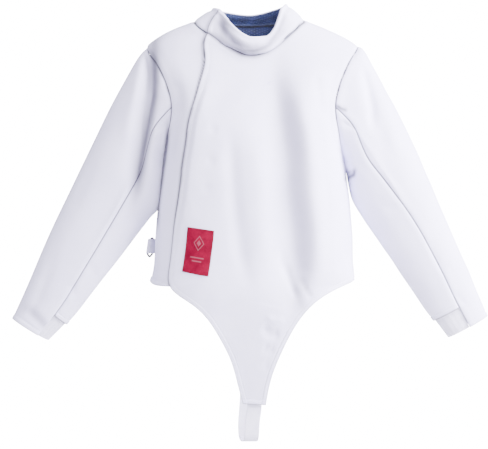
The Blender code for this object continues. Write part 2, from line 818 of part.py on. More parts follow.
def cuff_stations(sections):
    """Rows of a sleeve beside the cuff insert."""
    last = float(len(sections))
    return [last - 0.66, last - 0.33, last]


def sleeve_grid(sections, folds, side, under):
    """Upper or under sleeve, from the armhole to the cuff or to the cuff insert."""
    curves = sleeve_curves(sections)
    start, end = FRONT_SEAM_START, BACK_SEAM_START
    count = round(((end - start) if under else (360 - end + start)) / SLEEVE_STEP)
    columns = strip_places(count)
    stations = sleeve_stations(sections) + ([] if under else cuff_stations(sections))
    grid = []
    for station in stations:
        front_seam = curves[6](max(station, 1.0)) if station >= 1 else mix(start, curves[6](1), station)
        back_seam = curves[7](max(station, 1.0)) if station >= 1 else mix(end, curves[7](1), station)
        line = []
        for column in columns:
            share = column / count
            if under:
                angle = mix(front_seam, back_seam, share)
                root_angle = mix(start, end, share)
            else:
                angle = mix(back_seam - 360, front_seam, share)
                root_angle = mix(end - 360, start, share)
            if station >= 1:
                line.append(sleeve_point(curves, folds, angle % 360, station))
            else:
                root = armhole_point(side, root_angle % 360)
                first = sleeve_point(curves, folds, angle % 360, 1.0)
                line.append(root.lerp(first, station))
        if side > 0:
            line.reverse()
        grid.append(line)
    for j, point in enumerate(grid[0]):
        grid[0][j] = point + Vector((side * ARMHOLE_GAP, 0, 0))
    return pull_back(grid, SLEEVE_SEAM_GAP / 2, top=False, bottom=False)


def insert_grid(sections, folds, side):
    """Elastic insert that carries on from the under sleeve to the end of the cuff."""
    curves = sleeve_curves(sections)
    start = len(sections) - 1.0
    count = INSERT_COLUMNS
    grid = []
    for station in [start - INSERT_TUCK, start] + cuff_stations(sections):
        line = []
        for column in strip_places(count):
            angle = mix(curves[6](station), curves[7](station), column / count)
            line.append(sleeve_point(curves, folds, angle, station, INSERT_INSET))
        if side > 0:
            line.reverse()
        grid.append(line)
    return pull_back(grid, SEAM_GAP / 2, top=False, bottom=False)


def strap_grid():
    """The crotch strap as a flat band that follows its middle line."""
    inset = WALL + WEBBING_WALL / 2
    front_end = [body_point(0.5, height, -inset - STRAP_FRONT_GAP) for height in STRAP_FRONT_HEIGHTS]
    back_end = [body_point(180.0, height, -inset - STRAP_BACK_GAP) for height in STRAP_BACK_HEIGHTS]
    middle_line = front_end + [Vector(place) for place in STRAP] + back_end
    places = range(len(middle_line))
    curves = [Curve(places, [place[k] for place in middle_line]) for k in range(3)]
    count = (len(middle_line) - 1) * STRAP_ROWS_PER_STEP
    grid = []
    for row in range(count + 1):
        middle = Vector([curve(row / STRAP_ROWS_PER_STEP) for curve in curves])
        half = Vector((STRAP_WIDTH / 2, 0, 0))
        grid.append([middle - half, middle + half])
    return grid


def label_grid():
    """The label on the front panel, from the panel's form, moved out."""
    grid = []
    for row in range(LABEL_ROWS + 1):
        v = row / LABEL_ROWS
        line = []
        for column in range(LABEL_COLUMNS + 1):
            u = column / LABEL_COLUMNS
            place = []
            for axis in (0, 1):
                upper = mix(LABEL_UPPER_RIGHT[axis], LABEL_UPPER_LEFT[axis], u)
                lower = mix(LABEL_LOWER_RIGHT[axis], LABEL_LOWER_LEFT[axis], u)
                place.append(mix(upper, lower, v))
            lift = front_lift(*place) + LAYER_GAP + LABEL_WALL
            line.append(body_point(place[0], place[1], lift))
        grid.append(line)
    return grid


def ring_axes():
    """The ring's direction towards the body, the one aside from it, and its leaning upright."""
    heading = math.radians(RING_HEADING)
    inwards = Vector((math.cos(heading), math.sin(heading), 0))
    aside = Vector((-math.sin(heading), math.cos(heading), 0))
    upright = Vector((math.tan(math.radians(TAB_TILT)), 0, 1))
    return inwards, aside, upright


def tab_grid():
    """Webbing sewn on the back panel, which leaves it, folds round the ring and comes back."""
    inwards, aside, upright = ring_axes()
    grid = []
    for share in (0.5, -0.5):
        rise = share * TAB_HEIGHT
        line = []
        for turn in TAB_ROOT_TURNS:
            height = RING_CENTRE.z + rise
            line.append(body_point(turn, height, LAYER_GAP + WEBBING_WALL / 2))
        for place in TAB_LOOP:
            point = RING_CENTRE + inwards * place.along + aside * place.aside
            line.append(point + upright * rise)
        grid.append(line)
    return grid


def add_ring(material):
    """Wire ring with pointed ends, standing upright inside the folded tab."""
    inwards, aside, upright = ring_axes()
    outline = [
        (0.0, RING_HALF_HEIGHT),
        (RING_HALF_WIDTH, RING_BAR_HALF_HEIGHT),
        (RING_HALF_WIDTH, -RING_BAR_HALF_HEIGHT),
        (0.0, -RING_HALF_HEIGHT),
        (-RING_HALF_WIDTH, -RING_BAR_HALF_HEIGHT),
        (-RING_HALF_WIDTH, RING_BAR_HALF_HEIGHT),
    ]
    data = bpy.data.curves.new("side_ring", "CURVE")
    data.dimensions = "3D"
    data.bevel_depth = RING_WIRE
    data.bevel_resolution = 2
    spline = data.splines.new("POLY")
    spline.points.add(len(outline) - 1)
    for knot, (sideways, upwards) in zip(spline.points, outline):
        place = RING_CENTRE + inwards * sideways + upright * upwards
        knot.co = (*place, 1.0)
    spline.use_cyclic_u = True
    ring = bpy.data.objects.new("side_ring", data)
    bpy.data.collections["fencing_jacket"].objects.link(ring)
    data.materials.append(material)
    return ring


def clear_scene():
    for item in list(bpy.data.objects):
        bpy.data.objects.remove(item, do_unlink=True)
    group = bpy.data.collections.new("fencing_jacket")
    bpy.context.scene.collection.children.link(group)


def build_body(cloth, lining):
    front = front_grid()
    back = back_grid()
    collar = collar_grid()
    add_cloth("front_panel", front, WALL, cloth)
    add_cloth("side_front_panel", side_front_grid(), WALL, cloth)
    add_cloth("back_panel", back, WALL, cloth)
    add_cloth("collar", collar, WALL, cloth)
    add_cloth("collar_lining", collar_lining_grid(collar), LINING_WALL, lining)
    add_cloth("back_neck_lining", neck_lining_grid(back), LINING_WALL, lining)


def build_sleeves(cloth, elastic):
    for name, side, sections, folds in (("left", 1, LEFT_SLEEVE, LEFT_SLEEVE_FOLDS),
                                        ("right", -1, RIGHT_SLEEVE, RIGHT_SLEEVE_FOLDS)):
        add_cloth(name + "_sleeve_upper", sleeve_grid(sections, folds, side, False), WALL, cloth)
        add_cloth(name + "_sleeve_under", sleeve_grid(sections, folds, side, True), WALL, cloth)
        add_cloth(name + "_cuff_insert", insert_grid(sections, folds, side), INSERT_WALL, elastic)


def build_trim(elastic, label, ring):
    add_cloth("label", label_grid(), LABEL_WALL, label)
    add_cloth("crotch_strap", strap_grid(), WEBBING_WALL, elastic, 0.0)
    add_cloth("side_tab", tab_grid(), WEBBING_WALL, elastic, 0.0)
    add_ring(ring)


def main():
    clear_scene()
    cloth = new_material("jacket_cloth", CLOTH_WHITE, 0.8)
    elastic = new_material("elastic", ELASTIC_WHITE, 0.7)
    build_body(cloth, new_material("lining", LINING_NAVY, 0.6))
    build_sleeves(cloth, elastic)
    build_trim(elastic, new_material("label", LABEL_CRIMSON, 0.6),
               new_material("ring", RING_STEEL, 0.35, 1.0))


main()
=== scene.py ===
# A fencing jacket, hollow and filled out as if worn. Cloth, seams, stitching and trim are built
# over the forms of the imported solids, in metres, +Z up, with the front towards -Y.

import math
from collections import namedtuple

import bpy
import numpy as np
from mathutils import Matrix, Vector
from mathutils.bvhtree import BVHTree
from mathutils.kdtree import KDTree


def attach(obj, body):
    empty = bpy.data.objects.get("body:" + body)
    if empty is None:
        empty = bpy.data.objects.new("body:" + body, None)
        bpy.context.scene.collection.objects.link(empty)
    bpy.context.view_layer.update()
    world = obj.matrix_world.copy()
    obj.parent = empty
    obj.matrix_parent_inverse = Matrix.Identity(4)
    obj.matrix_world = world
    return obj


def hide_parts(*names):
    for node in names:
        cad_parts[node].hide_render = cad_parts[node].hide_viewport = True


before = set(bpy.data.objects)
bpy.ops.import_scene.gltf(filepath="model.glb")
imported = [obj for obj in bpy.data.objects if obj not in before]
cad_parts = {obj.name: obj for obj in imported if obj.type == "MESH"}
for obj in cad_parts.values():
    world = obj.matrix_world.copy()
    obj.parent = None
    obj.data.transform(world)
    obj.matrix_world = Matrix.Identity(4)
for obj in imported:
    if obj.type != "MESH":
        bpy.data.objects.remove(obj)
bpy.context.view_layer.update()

# Cloth thicknesses, and the room between layers
WALL = 0.0019
LINING_WALL = 0.0009
WEBBING_WALL = 0.0018
LABEL_WALL = 0.0008
LAYER_GAP = 0.0006

# How squarely the sections of the body and of the sleeves turn their corners: 2 is an ellipse
BODY_SQUARENESS = 2.25
SLEEVE_SQUARENESS = 2.15

# Heights of the main stations, and the rows of the cloth grid between them
SHOULDER_TIP_HEIGHT = -0.042
UNDERARM_HEIGHT = -0.290
SIDE_HEM_HEIGHT = -0.520
BACK_HEM_HEIGHT = -0.540
SHOULDER_ROWS = 3
ARMHOLE_ROWS = 12
SIDE_ROWS = 8
BODY_ROWS = SHOULDER_ROWS + ARMHOLE_ROWS + SIDE_ROWS

# Columns of the cloth grid
FRONT_COLUMNS = 20
SIDE_FRONT_COLUMNS = 6
LAP_COLUMNS = 3
BACK_COLUMNS = 18

# Finer parts of each row and column, and the closer ones along cut edges
BODY_PARTS = 7
COLUMN_PARTS = 5
SLEEVE_PARTS = 14
SLEEVE_COLUMN_PARTS = 4
EDGE_CELLS = 2
EDGE_PARTS = 3

# The flap: where the front panel lies over the side front
NECK_FLAP_TURN = -27.0
LAP_TURN = 14.0
LAP_RADIUS = 0.14
LAP_RISE = 0.0022
LAP_SINK = 0.0028
LAP_DEPTH = 0.0037
LAP_FADE = 0.020
LAP_APPROACH = 0.014
LAP_SLANT_ROWS = 6
HEM_FLARE = 0.0035
HEM_FLARE_HEIGHT = 0.016
BACK_FLARE_START = 225
BACK_FLARE_FADE = 35

# Collar rim, seen from above
RIM_CENTRE = -0.0047
RIM_HALF_WIDTH = 0.073
RIM_FRONT = 0.066
RIM_BACK = 0.038
COLLAR_BULGE = 0.004
COLLAR_FRONT_BULGE = 0.009
COLLAR_FRONT_POWER = 0.45
COLLAR_PARTS = 18
COLLAR_FRONT_PARTS = 3
COLLAR_BACK_PARTS = 4
COLLAR_LINING_HIGH = 0.985

# Back neck lining, counted in rows and columns of the back panel
NECK_LINING_ROWS = 5
NECK_LINING_MARGIN = 5
LINING_TUCK = 0.0030

# Sleeve seams where they leave the armhole, in degrees round the sleeve
FRONT_SEAM_START = 105.0
BACK_SEAM_START = 255.0
SLEEVE_STEP = 15.0
SLEEVE_SOFTENING = 60
BODY_SOFTENING = 40

# Elastic inserts of the cuffs
INSERT_TUCK = 0.35
INSERT_ROWS = 48
INSERT_COLUMNS = 80
INSERT_INSET = 0.0030
INSERT_RIBS = 12
INSERT_RIB = 0.0002

# Edges: how far a sewn edge is drawn in, and the fullness beside it
SEAM_DIP = 0.0026
SEAM_WIDTH = 0.0036
SEAM_PUFF = 0.0006
SEAM_PUFF_PLACE = 0.0090
SEAM_PUFF_WIDTH = 0.0050
SEW_REACH = 0.0040
SEW_FADE = 0.0070

# The front is flatter than the form of the solids, up to its corners and below the shoulders
FLAT_SQUARENESS = 2.7
FLAT_CORNER = 0.97
FLAT_FADE = 0.20
FLAT_TOP = -0.060
FLAT_TOP_FADE = 0.070
FLAT_HOLD = 0.045

# Collar rim: a rolled edge, and the soft groove below it
RIM_ROLL = 0.0014
RIM_ROLL_PLACE = 0.0030
RIM_ROLL_WIDTH = 0.0030
RIM_GROOVE = 0.0012
RIM_GROOVE_PLACE = 0.0095
RIM_GROOVE_WIDTH = 0.0040

# Edges: the turned hem stands a little proud, up to the groove of its stitching
HEM_WIDTH = 0.0090
HEM_STEP = 0.0016
HEM_RISE = 0.0012
HEM_GROOVE = 0.0008
HEM_GROOVE_WIDTH = 0.0011
HEM_CALM = 0.0200
HEM_CALM_LEAST = 0.4
EDGE_ROUNDING = 0.38
BEVEL_ANGLE = 55

# Stitches
STITCH_PITCH = 0.0034
STITCH_LENGTH = 0.0025
THREAD_RADIUS = 0.00024
THREAD_LIFT = 0.00008
STITCH_LINE_STEP = 0.003
THREAD_ASIDE = (0.3, 0.5, 0.8)
# Shares of a stitch's length, and how thick it is there
THREAD_RINGS = ((0.0, 0.35), (0.3, 1.0), (0.7, 1.0), (1.0, 0.35))

# Folds run past their ends by a share of their length, and fade over another
FOLD_RUN_OUT = (0.15, 0.3)
SLEEVE_FOLD_RUN_OUT = (0.1, 0.25)

# Creases fade out over this share of their length, and from one face to the other over this depth
CREASE_FADE = 0.28
FACE_BLEND = 0.030

# Crotch strap
STRAP_WIDTH = 0.029
STRAP_COLUMNS = 28

# Side tab and ring
TAB_HEIGHT = 0.030
TAB_TILT = 8.0
TAB_ROWS = 24
TAB_PARTS = 4
RING_WIRE = 0.0022
RING_DROP = 0.0025
RING_HALF_HEIGHT = 0.0200
RING_BAR_HALF_HEIGHT = 0.0135
RING_HALF_WIDTH = 0.0058

# Label on the front panel
LABEL_COLUMNS = 40
LABEL_ROWS = 70


def table(columns, *rows):
    """Rows with named columns. Turns are in degrees, rows and seams are as they stand, and all
    else is given in millimetres and kept in metres."""
    Row = namedtuple("Row", columns)
    scales = [1 if name.endswith(("turn", "row", "seam")) else 1000 for name in Row._fields]
    return [Row(*(value / scale for value, scale in zip(row, scales))) for row in rows]


# Sections of the body, from the neck down
BODY_LEVELS = table(
    "height centre half_width front back",
    (25, -4, 78, 45, 55), (9, -3, 112, 48, 58), (-5, -3, 151, 52, 62), (-22, -2, 186, 58, 70),
    (-41, -1, 214, 64, 80), (-60, 0, 224, 70, 88), (-90, 1, 226, 82, 97), (-130, 2, 216, 96, 104),
    (-170, 3, 201, 106, 107), (-210, 3, 189, 112, 105), (-250, 3.5, 183, 115, 102),
    (-300, 5, 186, 115, 96), (-360, 6, 193, 112, 91), (-430, 6, 199, 109, 90), (-480, 4, 202, 109, 95),
    (-531, 2, 207, 110, 103), (-600, 2, 207, 104, 103), (-700, 3, 200, 84, 100),
    (-780, 3, 190, 62, 100), (-860, 3, 180, 40, 100))

# Neck seam round the body
NECK = table(
    "turn height",
    (-90, 10), (-54, 1), (-27, -22.5), (-17, -38.5), (-9, -59.5), (-1, -71.5), (5, -66), (12, -51),
    (24, -24), (45, -1), (90, 12), (135, 12), (180, 8), (225, 11), (270, 10))

# Collar rim round the neck
RIM = table(
    "turn height",
    (-90, 37.6), (-62, 31), (-27, -6.8), (-12, -22.2), (3, -30.3), (27, -27.3), (41, -11.8), (51, 11),
    (61, 32.4), (90, 44), (135, 37), (180, 27.6), (225, 33), (270, 37.6))

# Armhole from the shoulder tip down to the underarm, a row for each step round the sleeve
ARMHOLE = table(
    "height front_turn back_turn",
    (-42, 90, 90), (-46, 79, 101), (-57, 67, 112.5), (-75, 58, 121), (-98, 52.8, 126),
    (-123, 50.6, 127.6), (-148, 50.6, 127.6), (-172, 52.6, 125.7), (-197, 56.9, 121.8),
    (-221, 63.4, 115.8), (-246, 71, 108.5), (-269, 79.5, 100), (-290, 90, 90))

# Free edge of the flap, from the neck to the hem
FLAP = table(
    "row height turn",
    (0, -22.5, -27), (3, -78, -24.1), (5, -127.2, -28.6), (9, -198.3, -39.8), (11, -230.8, -43.7),
    (15, -300, -48.2), (17, -358, -49.4), (19, -414, -51.9), (21, -470, -52.7), (23, -531, -52.1))

# Edges of the groin point, a row of the cloth grid for each
GROIN_POINT = table(
    "right_turn right left_turn left",
    (-42.4, -550.7, 66, -525), (-34, -567.1, 46.3, -541.5), (-28.3, -584, 36.3, -559.7),
    (-23.8, -602.4, 29.5, -580.9), (-19.6, -627.3, 23.2, -608.8), (-15.6, -655.4, 18.1, -642.9),
    (-12.3, -683.7, 13.8, -677.5), (-9.9, -718.6, 10.6, -708), (-8.2, -744, 8.7, -738),
    (-6.4, -766, 7.3, -769))

# Largest hanging folds of the body: soft troughs, or ridges where the depth is below zero
BODY_FOLDS = table(
    "top_turn middle_turn low_turn top low width depth",
    (14, 24, 27, -70, -560, 17, 5), (-11, -11.5, -12, -140, -640, 24, 2.5),
    (38, 44, 50, -60, -200, 15, 2.5), (-78, -76, -74, -330, -520, 16, 2.5),
    (149, 155, 158, -70, -530, 18, 4.5), (212, 204, 200, -80, -500, 20, 4),
    (181, 178, 176, -260, -450, 16, 3), (120, 116, 112, -330, -520, 17, 3))

# Sleeve sections: the outer and inner edges seen from the front, the half depths and the seams
SECTION = "outer_x outer_height inner_x inner_height front back front_seam back_seam"
LEFT_SLEEVE = table(
    SECTION,
    (228, -46, 193.5, -300, 63, 64, 106, 254), (249, -87, 198, -328, 59, 61, 105, 255),
    (277, -138, 204, -355, 56, 58, 104, 256), (303, -186, 219, -381, 53, 55, 100, 258),
    (335, -253, 243, -419, 50, 52, 94, 262), (366, -323, 277, -466, 46, 48, 88, 266),
    (401.6, -408, 309, -515, 42, 43, 84, 270), (427, -464, 333, -550, 38, 38, 84, 272),
    (450, -514, 353, -581, 34, 34, 86, 272), (464.5, -551.5, 372, -603.5, 31, 31, 87, 272),
    (482, -593.5, 399.7, -639.7, 27, 27, 88, 272))
RIGHT_SLEEVE = table(
    SECTION,
    (-229, -54.5, -184.5, -300, 63, 64, 106, 254), (-248, -89, -187.5, -328, 59, 61, 107, 253),
    (-271, -132, -191, -360, 56, 58, 109, 251), (-293, -173, -205, -388, 53, 55, 111, 249),
    (-325, -240, -233, -424, 50, 52, 112, 248), (-362, -314, -269, -472, 46, 48, 114, 246),
    (-401, -395, -307, -521, 42, 43, 116, 244), (-425, -450, -333, -555, 38, 38, 117, 243),
    (-446, -499, -358, -587, 34, 34, 118, 242), (-463, -538, -380, -611, 31, 31, 118, 242),
    (-490.5, -599, -414.5, -645.6, 27, 27, 118, 242))

# Largest folds of the sleeves: turns round the sleeve and shares of the sleeve's sections
SLEEVE_FOLD = "top_turn low_turn top_row low_row width_turn depth"
LEFT_SLEEVE_FOLDS = table(
    SLEEVE_FOLD,
    (48, 78, 0.6, 4.2, 13, 3.5), (128, 140, 2, 5.5, 12, 3), (300, 285, 0.8, 5, 14, 4),
    (215, 205, 3.5, 8, 12, 3))
RIGHT_SLEEVE_FOLDS = table(
    SLEEVE_FOLD,
    (52, 98, 0.6, 4.4, 14, 4.5), (58, 70, 8, 10.4, 12, 2.5), (304, 282, 0.8, 4.6, 14, 4),
    (222, 208, 3, 7.5, 12, 3))

# Crotch strap's middle line between its sewn ends: down from the groin point, under, and up
STRAP = table(
    "across depth height",
    (0.8, -57.5, -805), (-0.5, -56, -829), (-3, -49, -843), (-8, -39, -845), (-13, -30, -836),
    (-14, -22, -813), (-11, -6, -770), (-7, 22, -700), (-3, 60, -618), (0, 86, -570))
# Its sewn ends: the turn of each, its heights, and its gap from the cloth
STRAP_ENDS = ((0.5, (-0.7480, -0.7740), 0.0007), (180.0, (-0.5360, -0.5150), 0.0014))
STRAP_ROWS_PER_STEP = 10

# Label corners on the front panel: upper right and left, and lower right and left
LABEL_CORNERS = table("turn height", (-39.9, -411), (-23.6, -419.6), (-41.3, -501),
                      (-25.1, -510))

# Side tab seen from above, about the ring's middle: along it towards the body, and aside from it
TAB_LOOP = table(
    "along aside",
    (14, 3), (7, 3), (0, 3), (-4.5, 3), (-7.3, 2), (-8.3, 0), (-7.3, -2), (-4.5, -3), (0, -3), (7, -3),
    (12, -2.6))
TAB_ROOT_TURNS = (235.0, 240.0, 245.0)
RING_CENTRE = np.array((-0.2085, 0.0228, -0.4516))
RING_HEADING = 30.0

# Creases: soft troughs, or ridges where the depth is below zero, along lines of places across and
# up as seen from the front. A lean above zero makes the wearer's left side of one the slower.
Crease = namedtuple("Crease", "width depth lean line")


def creases(*rows):
    """Creases from rows of width, depth and lean, then places across and up, in millimetres."""
    result = []
    for width, depth, lean, *places in rows:
        line = np.reshape(places, (-1, 2)) / 1000
        result.append(Crease(width / 1000, depth / 1000, lean, line))
    return result


FRONT_CREASES = creases(
    # Along the neck seam
    (5, 3.6, 0, -81, -25, -52, -45, -16, -64, 2, -68, 24, -59, 56, -41),
    # Long hollow beside the breast
    (40, 18, -0.4, 31, -61, 39, -121, 53, -180, 67, -259, 71, -339, 81, -418, 85, -497, 75, -576, 63,
     -616),
    # Crest right of it
    (22, -8, 0, 87, -101, 101, -180, 114, -259, 118, -339, 128, -418, 130, -493, 118, -557),
    # Fullness of the flap
    (30, -6, 0, -88, -81, -104, -160, -123, -251, -135, -358, -143, -471),
    # Upper chest hollow
    (10, 2.2, 0, 128, -101, 134, -144, 138, -196),
    # Long shallow slope
    (15, 4.2, 0, -44, -200, -40, -279, -36, -358, -24, -458, -1, -557),
    # Crest between the hollows
    (20, -3, 0, 7, -220, 15, -319, 19, -418, 27, -517),
    # Waist creases
    (7, 3, 0, 69, -481, 79, -527, 93, -563),
    (6, 2.6, 0, 95, -507, 108, -539, 122, -561),
    (6.5, 1.4, 0, 57, -450, 63, -489, 71, -521),
    # Hip crumple
    (9, 3, 0, 17, -610, 35, -624, 57, -628),
    # Hip crumple above
    (6, -1.4, 0, 23, -588, 45, -598, 67, -596),
    # Low crumple
    (9, 1.4, 0, 19, -650, 33, -658, 47, -656),
    # Lowest crumple
    (9, 1, 0, 23, -674, 29, -687, 29, -703),
    # Breast dimples
    (10, 1, 0, -88, -216, -68, -222),
    (10, 1.1, 0, -92, -279, -72, -285),
    (10, 0.9, 0, -100, -331, -80, -339),
    # Hem crease
    (6, 1, 0, -147, -521, -119, -515, -94, -513),
    # Flap ripples
    (4, 0.6, 0, -141, -351, -131, -364, -127, -382),
    (4, 0.6, 0, -147, -386, -137, -402, -135, -418),
    # Side hollow
    (13, 1.2, 0, 148, -259, 156, -358, 160, -458))
SIDE_FRONT_CREASES = creases(
    # Fullness of the flap
    (30, -6, 0, -88, -81, -104, -160, -123, -251, -135, -358, -143, -471),
    # Armhole hollow
    (9, 1.8, 0, -151, -117, -145, -157, -145, -201),
    # Side crest
    (16, -6.5, 0, -171, -200, -175, -279, -179, -358, -187, -438, -193, -527))
RIGHT_SLEEVE_CREASES = creases(
    # Fullness against the body
    (18, -8, 0, -181, -259, -181, -299, -183, -331, -187, -358, -203, -402),
    # Deep fold below the shoulder
    (13, 19, -0.2, -209, 18, -207, -49, -205, -111, -213, -180, -221, -259, -236, -339, -250, -388),
    # Crest before it
    (12, -2.2, 0, -231, -86, -235, -145, -245, -196, -259, -256),
    # Armhole pinches
    (4, 2.2, 0, -168, -202, -182, -208, -196, -218),
    (4.2, 2, 0, -174, -232, -190, -236, -209, -248),
    # Seam crest
    (6, -1.6, 0, -190, -218, -235, -301, -283, -390, -336, -471),
    # Elbow hollow
    (8, 2.2, 0, -263, -400, -245, -400, -221, -390),
    # Forearm hollows
    (9, 1.6, 0, -332, -483, -322, -499, -318, -519),
    (10, 2, 0, -370, -523, -362, -542, -362, -560),
    # Cuff fold
    (9.5, 3.4, 0, -460, -576, -444, -592, -429, -608, -413, -626),
    # Outer hollow
    (12, 1.4, 0, -310, -256, -340, -321, -372, -390))
LEFT_SLEEVE_CREASES = creases(
    # Fold below the shoulder
    (9.5, 6, 0, 220, -70, 236, -127, 243, -171, 243, -228),
    # Crest behind it
    (13, -1.8, 0, 265, -135, 279, -206, 297, -277),
    # Armhole pinch
    (4.5, 2.2, 0, 176, -198, 192, -208, 208, -216),
    # Crumple rim
    (4.2, -2.2, 0, 184, -289, 200, -285, 214, -293, 218, -309),
    # Crumple hollow
    (4.5, 4, 0, 188, -305, 198, -301, 206, -309, 202, -321),
    # Seam crest
    (5, -1.2, 0, 176, -171, 208, -216, 247, -270, 291, -339, 327, -406),
    # Elbow hollow
    (9, 1.6, 0, 243, -349, 267, -370, 295, -378),
    # Forearm hollow
    (9, 1.6, 0, 356, -430, 374, -475, 394, -511),
    # Cuff fold
    (5.5, 1.3, 0, 410, -539, 423, -560, 437, -574))
BACK_CREASES = creases(
    # Long hollows beside the shoulder blades
    (14, 3.4, 0.2, 60, -110, 72, -190, 68, -280, 80, -370, 74, -470),
    (13, 3, 0, -52, -130, -66, -220, -60, -310, -74, -430),
    # Crests beside them
    (14, -2, 0, 92, -140, 102, -260, 100, -390),
    (13, -1.6, 0, -86, -170, -92, -270, -100, -370),
    # Middle of the back
    (12, 2, 0, 6, -250, 0, -340, 10, -430, 4, -500),
    (8, 1.2, 0, -30, -30, 0, -42, 35, -34),
    # Pulls from the shoulders
    (10, 1.8, 0, 150, -85, 120, -120, 85, -135),
    (9, 1.6, 0, -155, -95, -125, -125, -95, -150),
    # Pinches beside the armholes
    (6, 1.8, 0, 165, -215, 145, -235, 125, -245),
    (5.5, 1.6, 0, -160, -230, -142, -252, -120, -256),
    # Waist
    (6, 1.5, 0, 120, -440, 130, -480, 142, -512),
    (6, 1.4, 0, -104, -420, -112, -465, -120, -505),
    (5, 1, 0, 30, -470, 40, -495, 45, -525))
LEFT_SLEEVE_BACK_CREASES = creases(
    (11, 3.5, 0, 205, -90, 218, -150, 226, -215),
    (12, -1.8, 0, 245, -120, 262, -190, 285, -250),
    (8, 3, 0, 285, -400, 315, -388, 345, -366),
    (7, 2.6, 0, 300, -440, 330, -424, 362, -398),
    (7, 1.8, 0, 326, -474, 350, -458, 375, -438),
    (9, 1.8, 0, 375, -500, 392, -540, 408, -580),
    (5, 2, 0, 178, -215, 196, -228, 214, -246))
RIGHT_SLEEVE_BACK_CREASES = creases(
    (18, -8, 0, -181, -259, -181, -299, -183, -331, -187, -358, -203, -402),
    (10, 4, 0, -204, -100, -214, -160, -230, -240),
    (12, -1.8, 0, -240, -130, -256, -200, -276, -270),
    (8, 2.6, 0, -280, -410, -312, -402, -340, -380),
    (7, 2.8, 0, -300, -450, -328, -440, -358, -416),
    (7, 1.6, 0, -322, -486, -348, -474, -372, -456),
    (9, 1.8, 0, -380, -520, -400, -560, -420, -596),
    (5, 1.8, 0, -182, -236, -200, -246, -220, -262))

COLLAR_CREASES = creases(
    # Trough below the rolled rim, and the hollow that it runs into
    (9, 9.5, 0, -72, 26, -62, -2, -48, -26, -32, -43, -8, -53, 19, -49, 51, -22),
    (7, 4, 0, -76, -29, -48, -53, -16, -71, 7, -73, 31, -61))

# Painted shade in the deepest folds, as creases whose depth is its strength
PAINTED_FOLD_SHADES = creases(
    # Beside the breast
    (21, 340, 0, 51, 18, 65, -140, 85, -259, 89, -339, 99, -418, 103, -497, 89, -606, 75, -695),
    # Below the shoulder of the right sleeve
    (14, 900, 0, -197, 38, -199, -61, -199, -150, -211, -200, -222, -259, -234, -339, -250, -408),
    # Below the rim of the collar, at its front
    (15, 950, 0, -80, 38, -56, -16, -40, -41, -18, -57, 3, -59, 23, -53, 47, -33),
    # Where the right sleeve lies against the body
    (5, 1500, 0, -167, -180, -173, -279, -181, -339, -185, -372, -187, -438),
    # At the waist
    (8, 180, 0, 69, -458, 83, -525, 97, -563, 118, -600),
    # At the right cuff
    (10, 300, 0, -472, -561, -448, -588, -429, -608, -405, -632),
    # Crumple and pinch of the left sleeve, beside the body
    (4.5, 900, 0, 182, -319, 194, -313, 204, -307, 210, -289),
    (3.5, 800, 0, 166, -166, 178, -174, 194, -180))

# Faint waves all over the cloth: the height of each, its turns along each axis, and its start
WAVES = (
    (0.00030, (31, 17, 9), 0.4),
    (0.00025, (-19, 23, 27), 1.9),
    (0.00022, (47, -29, 15), 3.1),
    (0.00016, (63, 41, -52), 5),
    (0.00012, (-88, 37, 71), 0.9),
)

# Both sleeves: name, side, sections, folds, and creases in front and behind
SLEEVES = (
    ("left", 1, LEFT_SLEEVE, LEFT_SLEEVE_FOLDS, LEFT_SLEEVE_CREASES, LEFT_SLEEVE_BACK_CREASES),
    ("right", -1, RIGHT_SLEEVE, RIGHT_SLEEVE_FOLDS, RIGHT_SLEEVE_CREASES,
     RIGHT_SLEEVE_BACK_CREASES),
)

# Stitch lines, from the edge inwards
COLLAR_STITCH = 0.0055
LABEL_STITCH = 0.0022
CUFF_STITCH_LINES = (0.0065, 0.0095)

# Width of the painted shade along a seam, along the neck seam below the collar, along a sleeve's seams
# and hems, on the flap's edge, and on the cloth beside the flap where the flap's shadow is painted
EDGE_SHADE_WIDTH = 0.0019
NECK_SHADE_WIDTH = 0.0036
SLEEVE_SHADE_WIDTH = {"left": 0.0009, "right": 0.0004}
HEM_SHADE_WIDTH = {"upper": 0.0010, "under": 0.0018, "panel": 0.0010}
FLAP_SHADE_WIDTH = 0.0020
LAP_SHADE_WIDTH = 0.0030

# Ring wire: corners, parts of each, and sides round the wire
RING_ROUNDING = 0.0026
RING_CORNER_PARTS = 6
RING_SIDES = 12

# Pitches of the weaves
THREAD_PITCH = 0.0005
ELASTIC_PITCH = 0.0013
DASH_PITCH = (0.0110, 0.0060)

# The label's lozenge: its height, its slope, the ring round it and its heart, then two plain bars
# below it, each with its height and half its width
LOZENGE_HEIGHT = 0.016
LOZENGE_SLOPE = 1.4
LOZENGE_RING = (0.0125, 0.0155)
LOZENGE_HEART = 0.0065
BARS = ((-0.0130, 0.014), (-0.0200, 0.010))
BAR_HALF_HEIGHT = 0.0014
LABEL_BLUR = 0.0004

# Colours
CLOTH_COOL = (0.660, 0.630, 0.900, 1.0)
CLOTH_WARM = (0.690, 0.660, 0.925, 1.0)
CLOTH_SLUB = (0.620, 0.590, 0.860, 1.0)
# Painted shade along seams and hems, on the flap's edge, beside the flap and below the collar
CLOTH_PAINTED_EDGE_SHADE = (0.020, 0.018, 0.032, 1.0)
# Painted shade in the deepest folds
CLOTH_PAINTED_FOLD_SHADE = (0.080, 0.074, 0.125, 1.0)
ELASTIC_WHITE = (0.740, 0.710, 0.930, 1.0)
# Darker tone of the elastic, and painted shade between its cords
ELASTIC_PAINTED_SHADE_AND_TONE = (0.600, 0.570, 0.800, 1.0)
LINING_NAVY = (0.014, 0.022, 0.085, 1.0)
LINING_BRIGHT = (0.020, 0.032, 0.115, 1.0)
LINING_DASH = (0.120, 0.160, 0.300, 1.0)
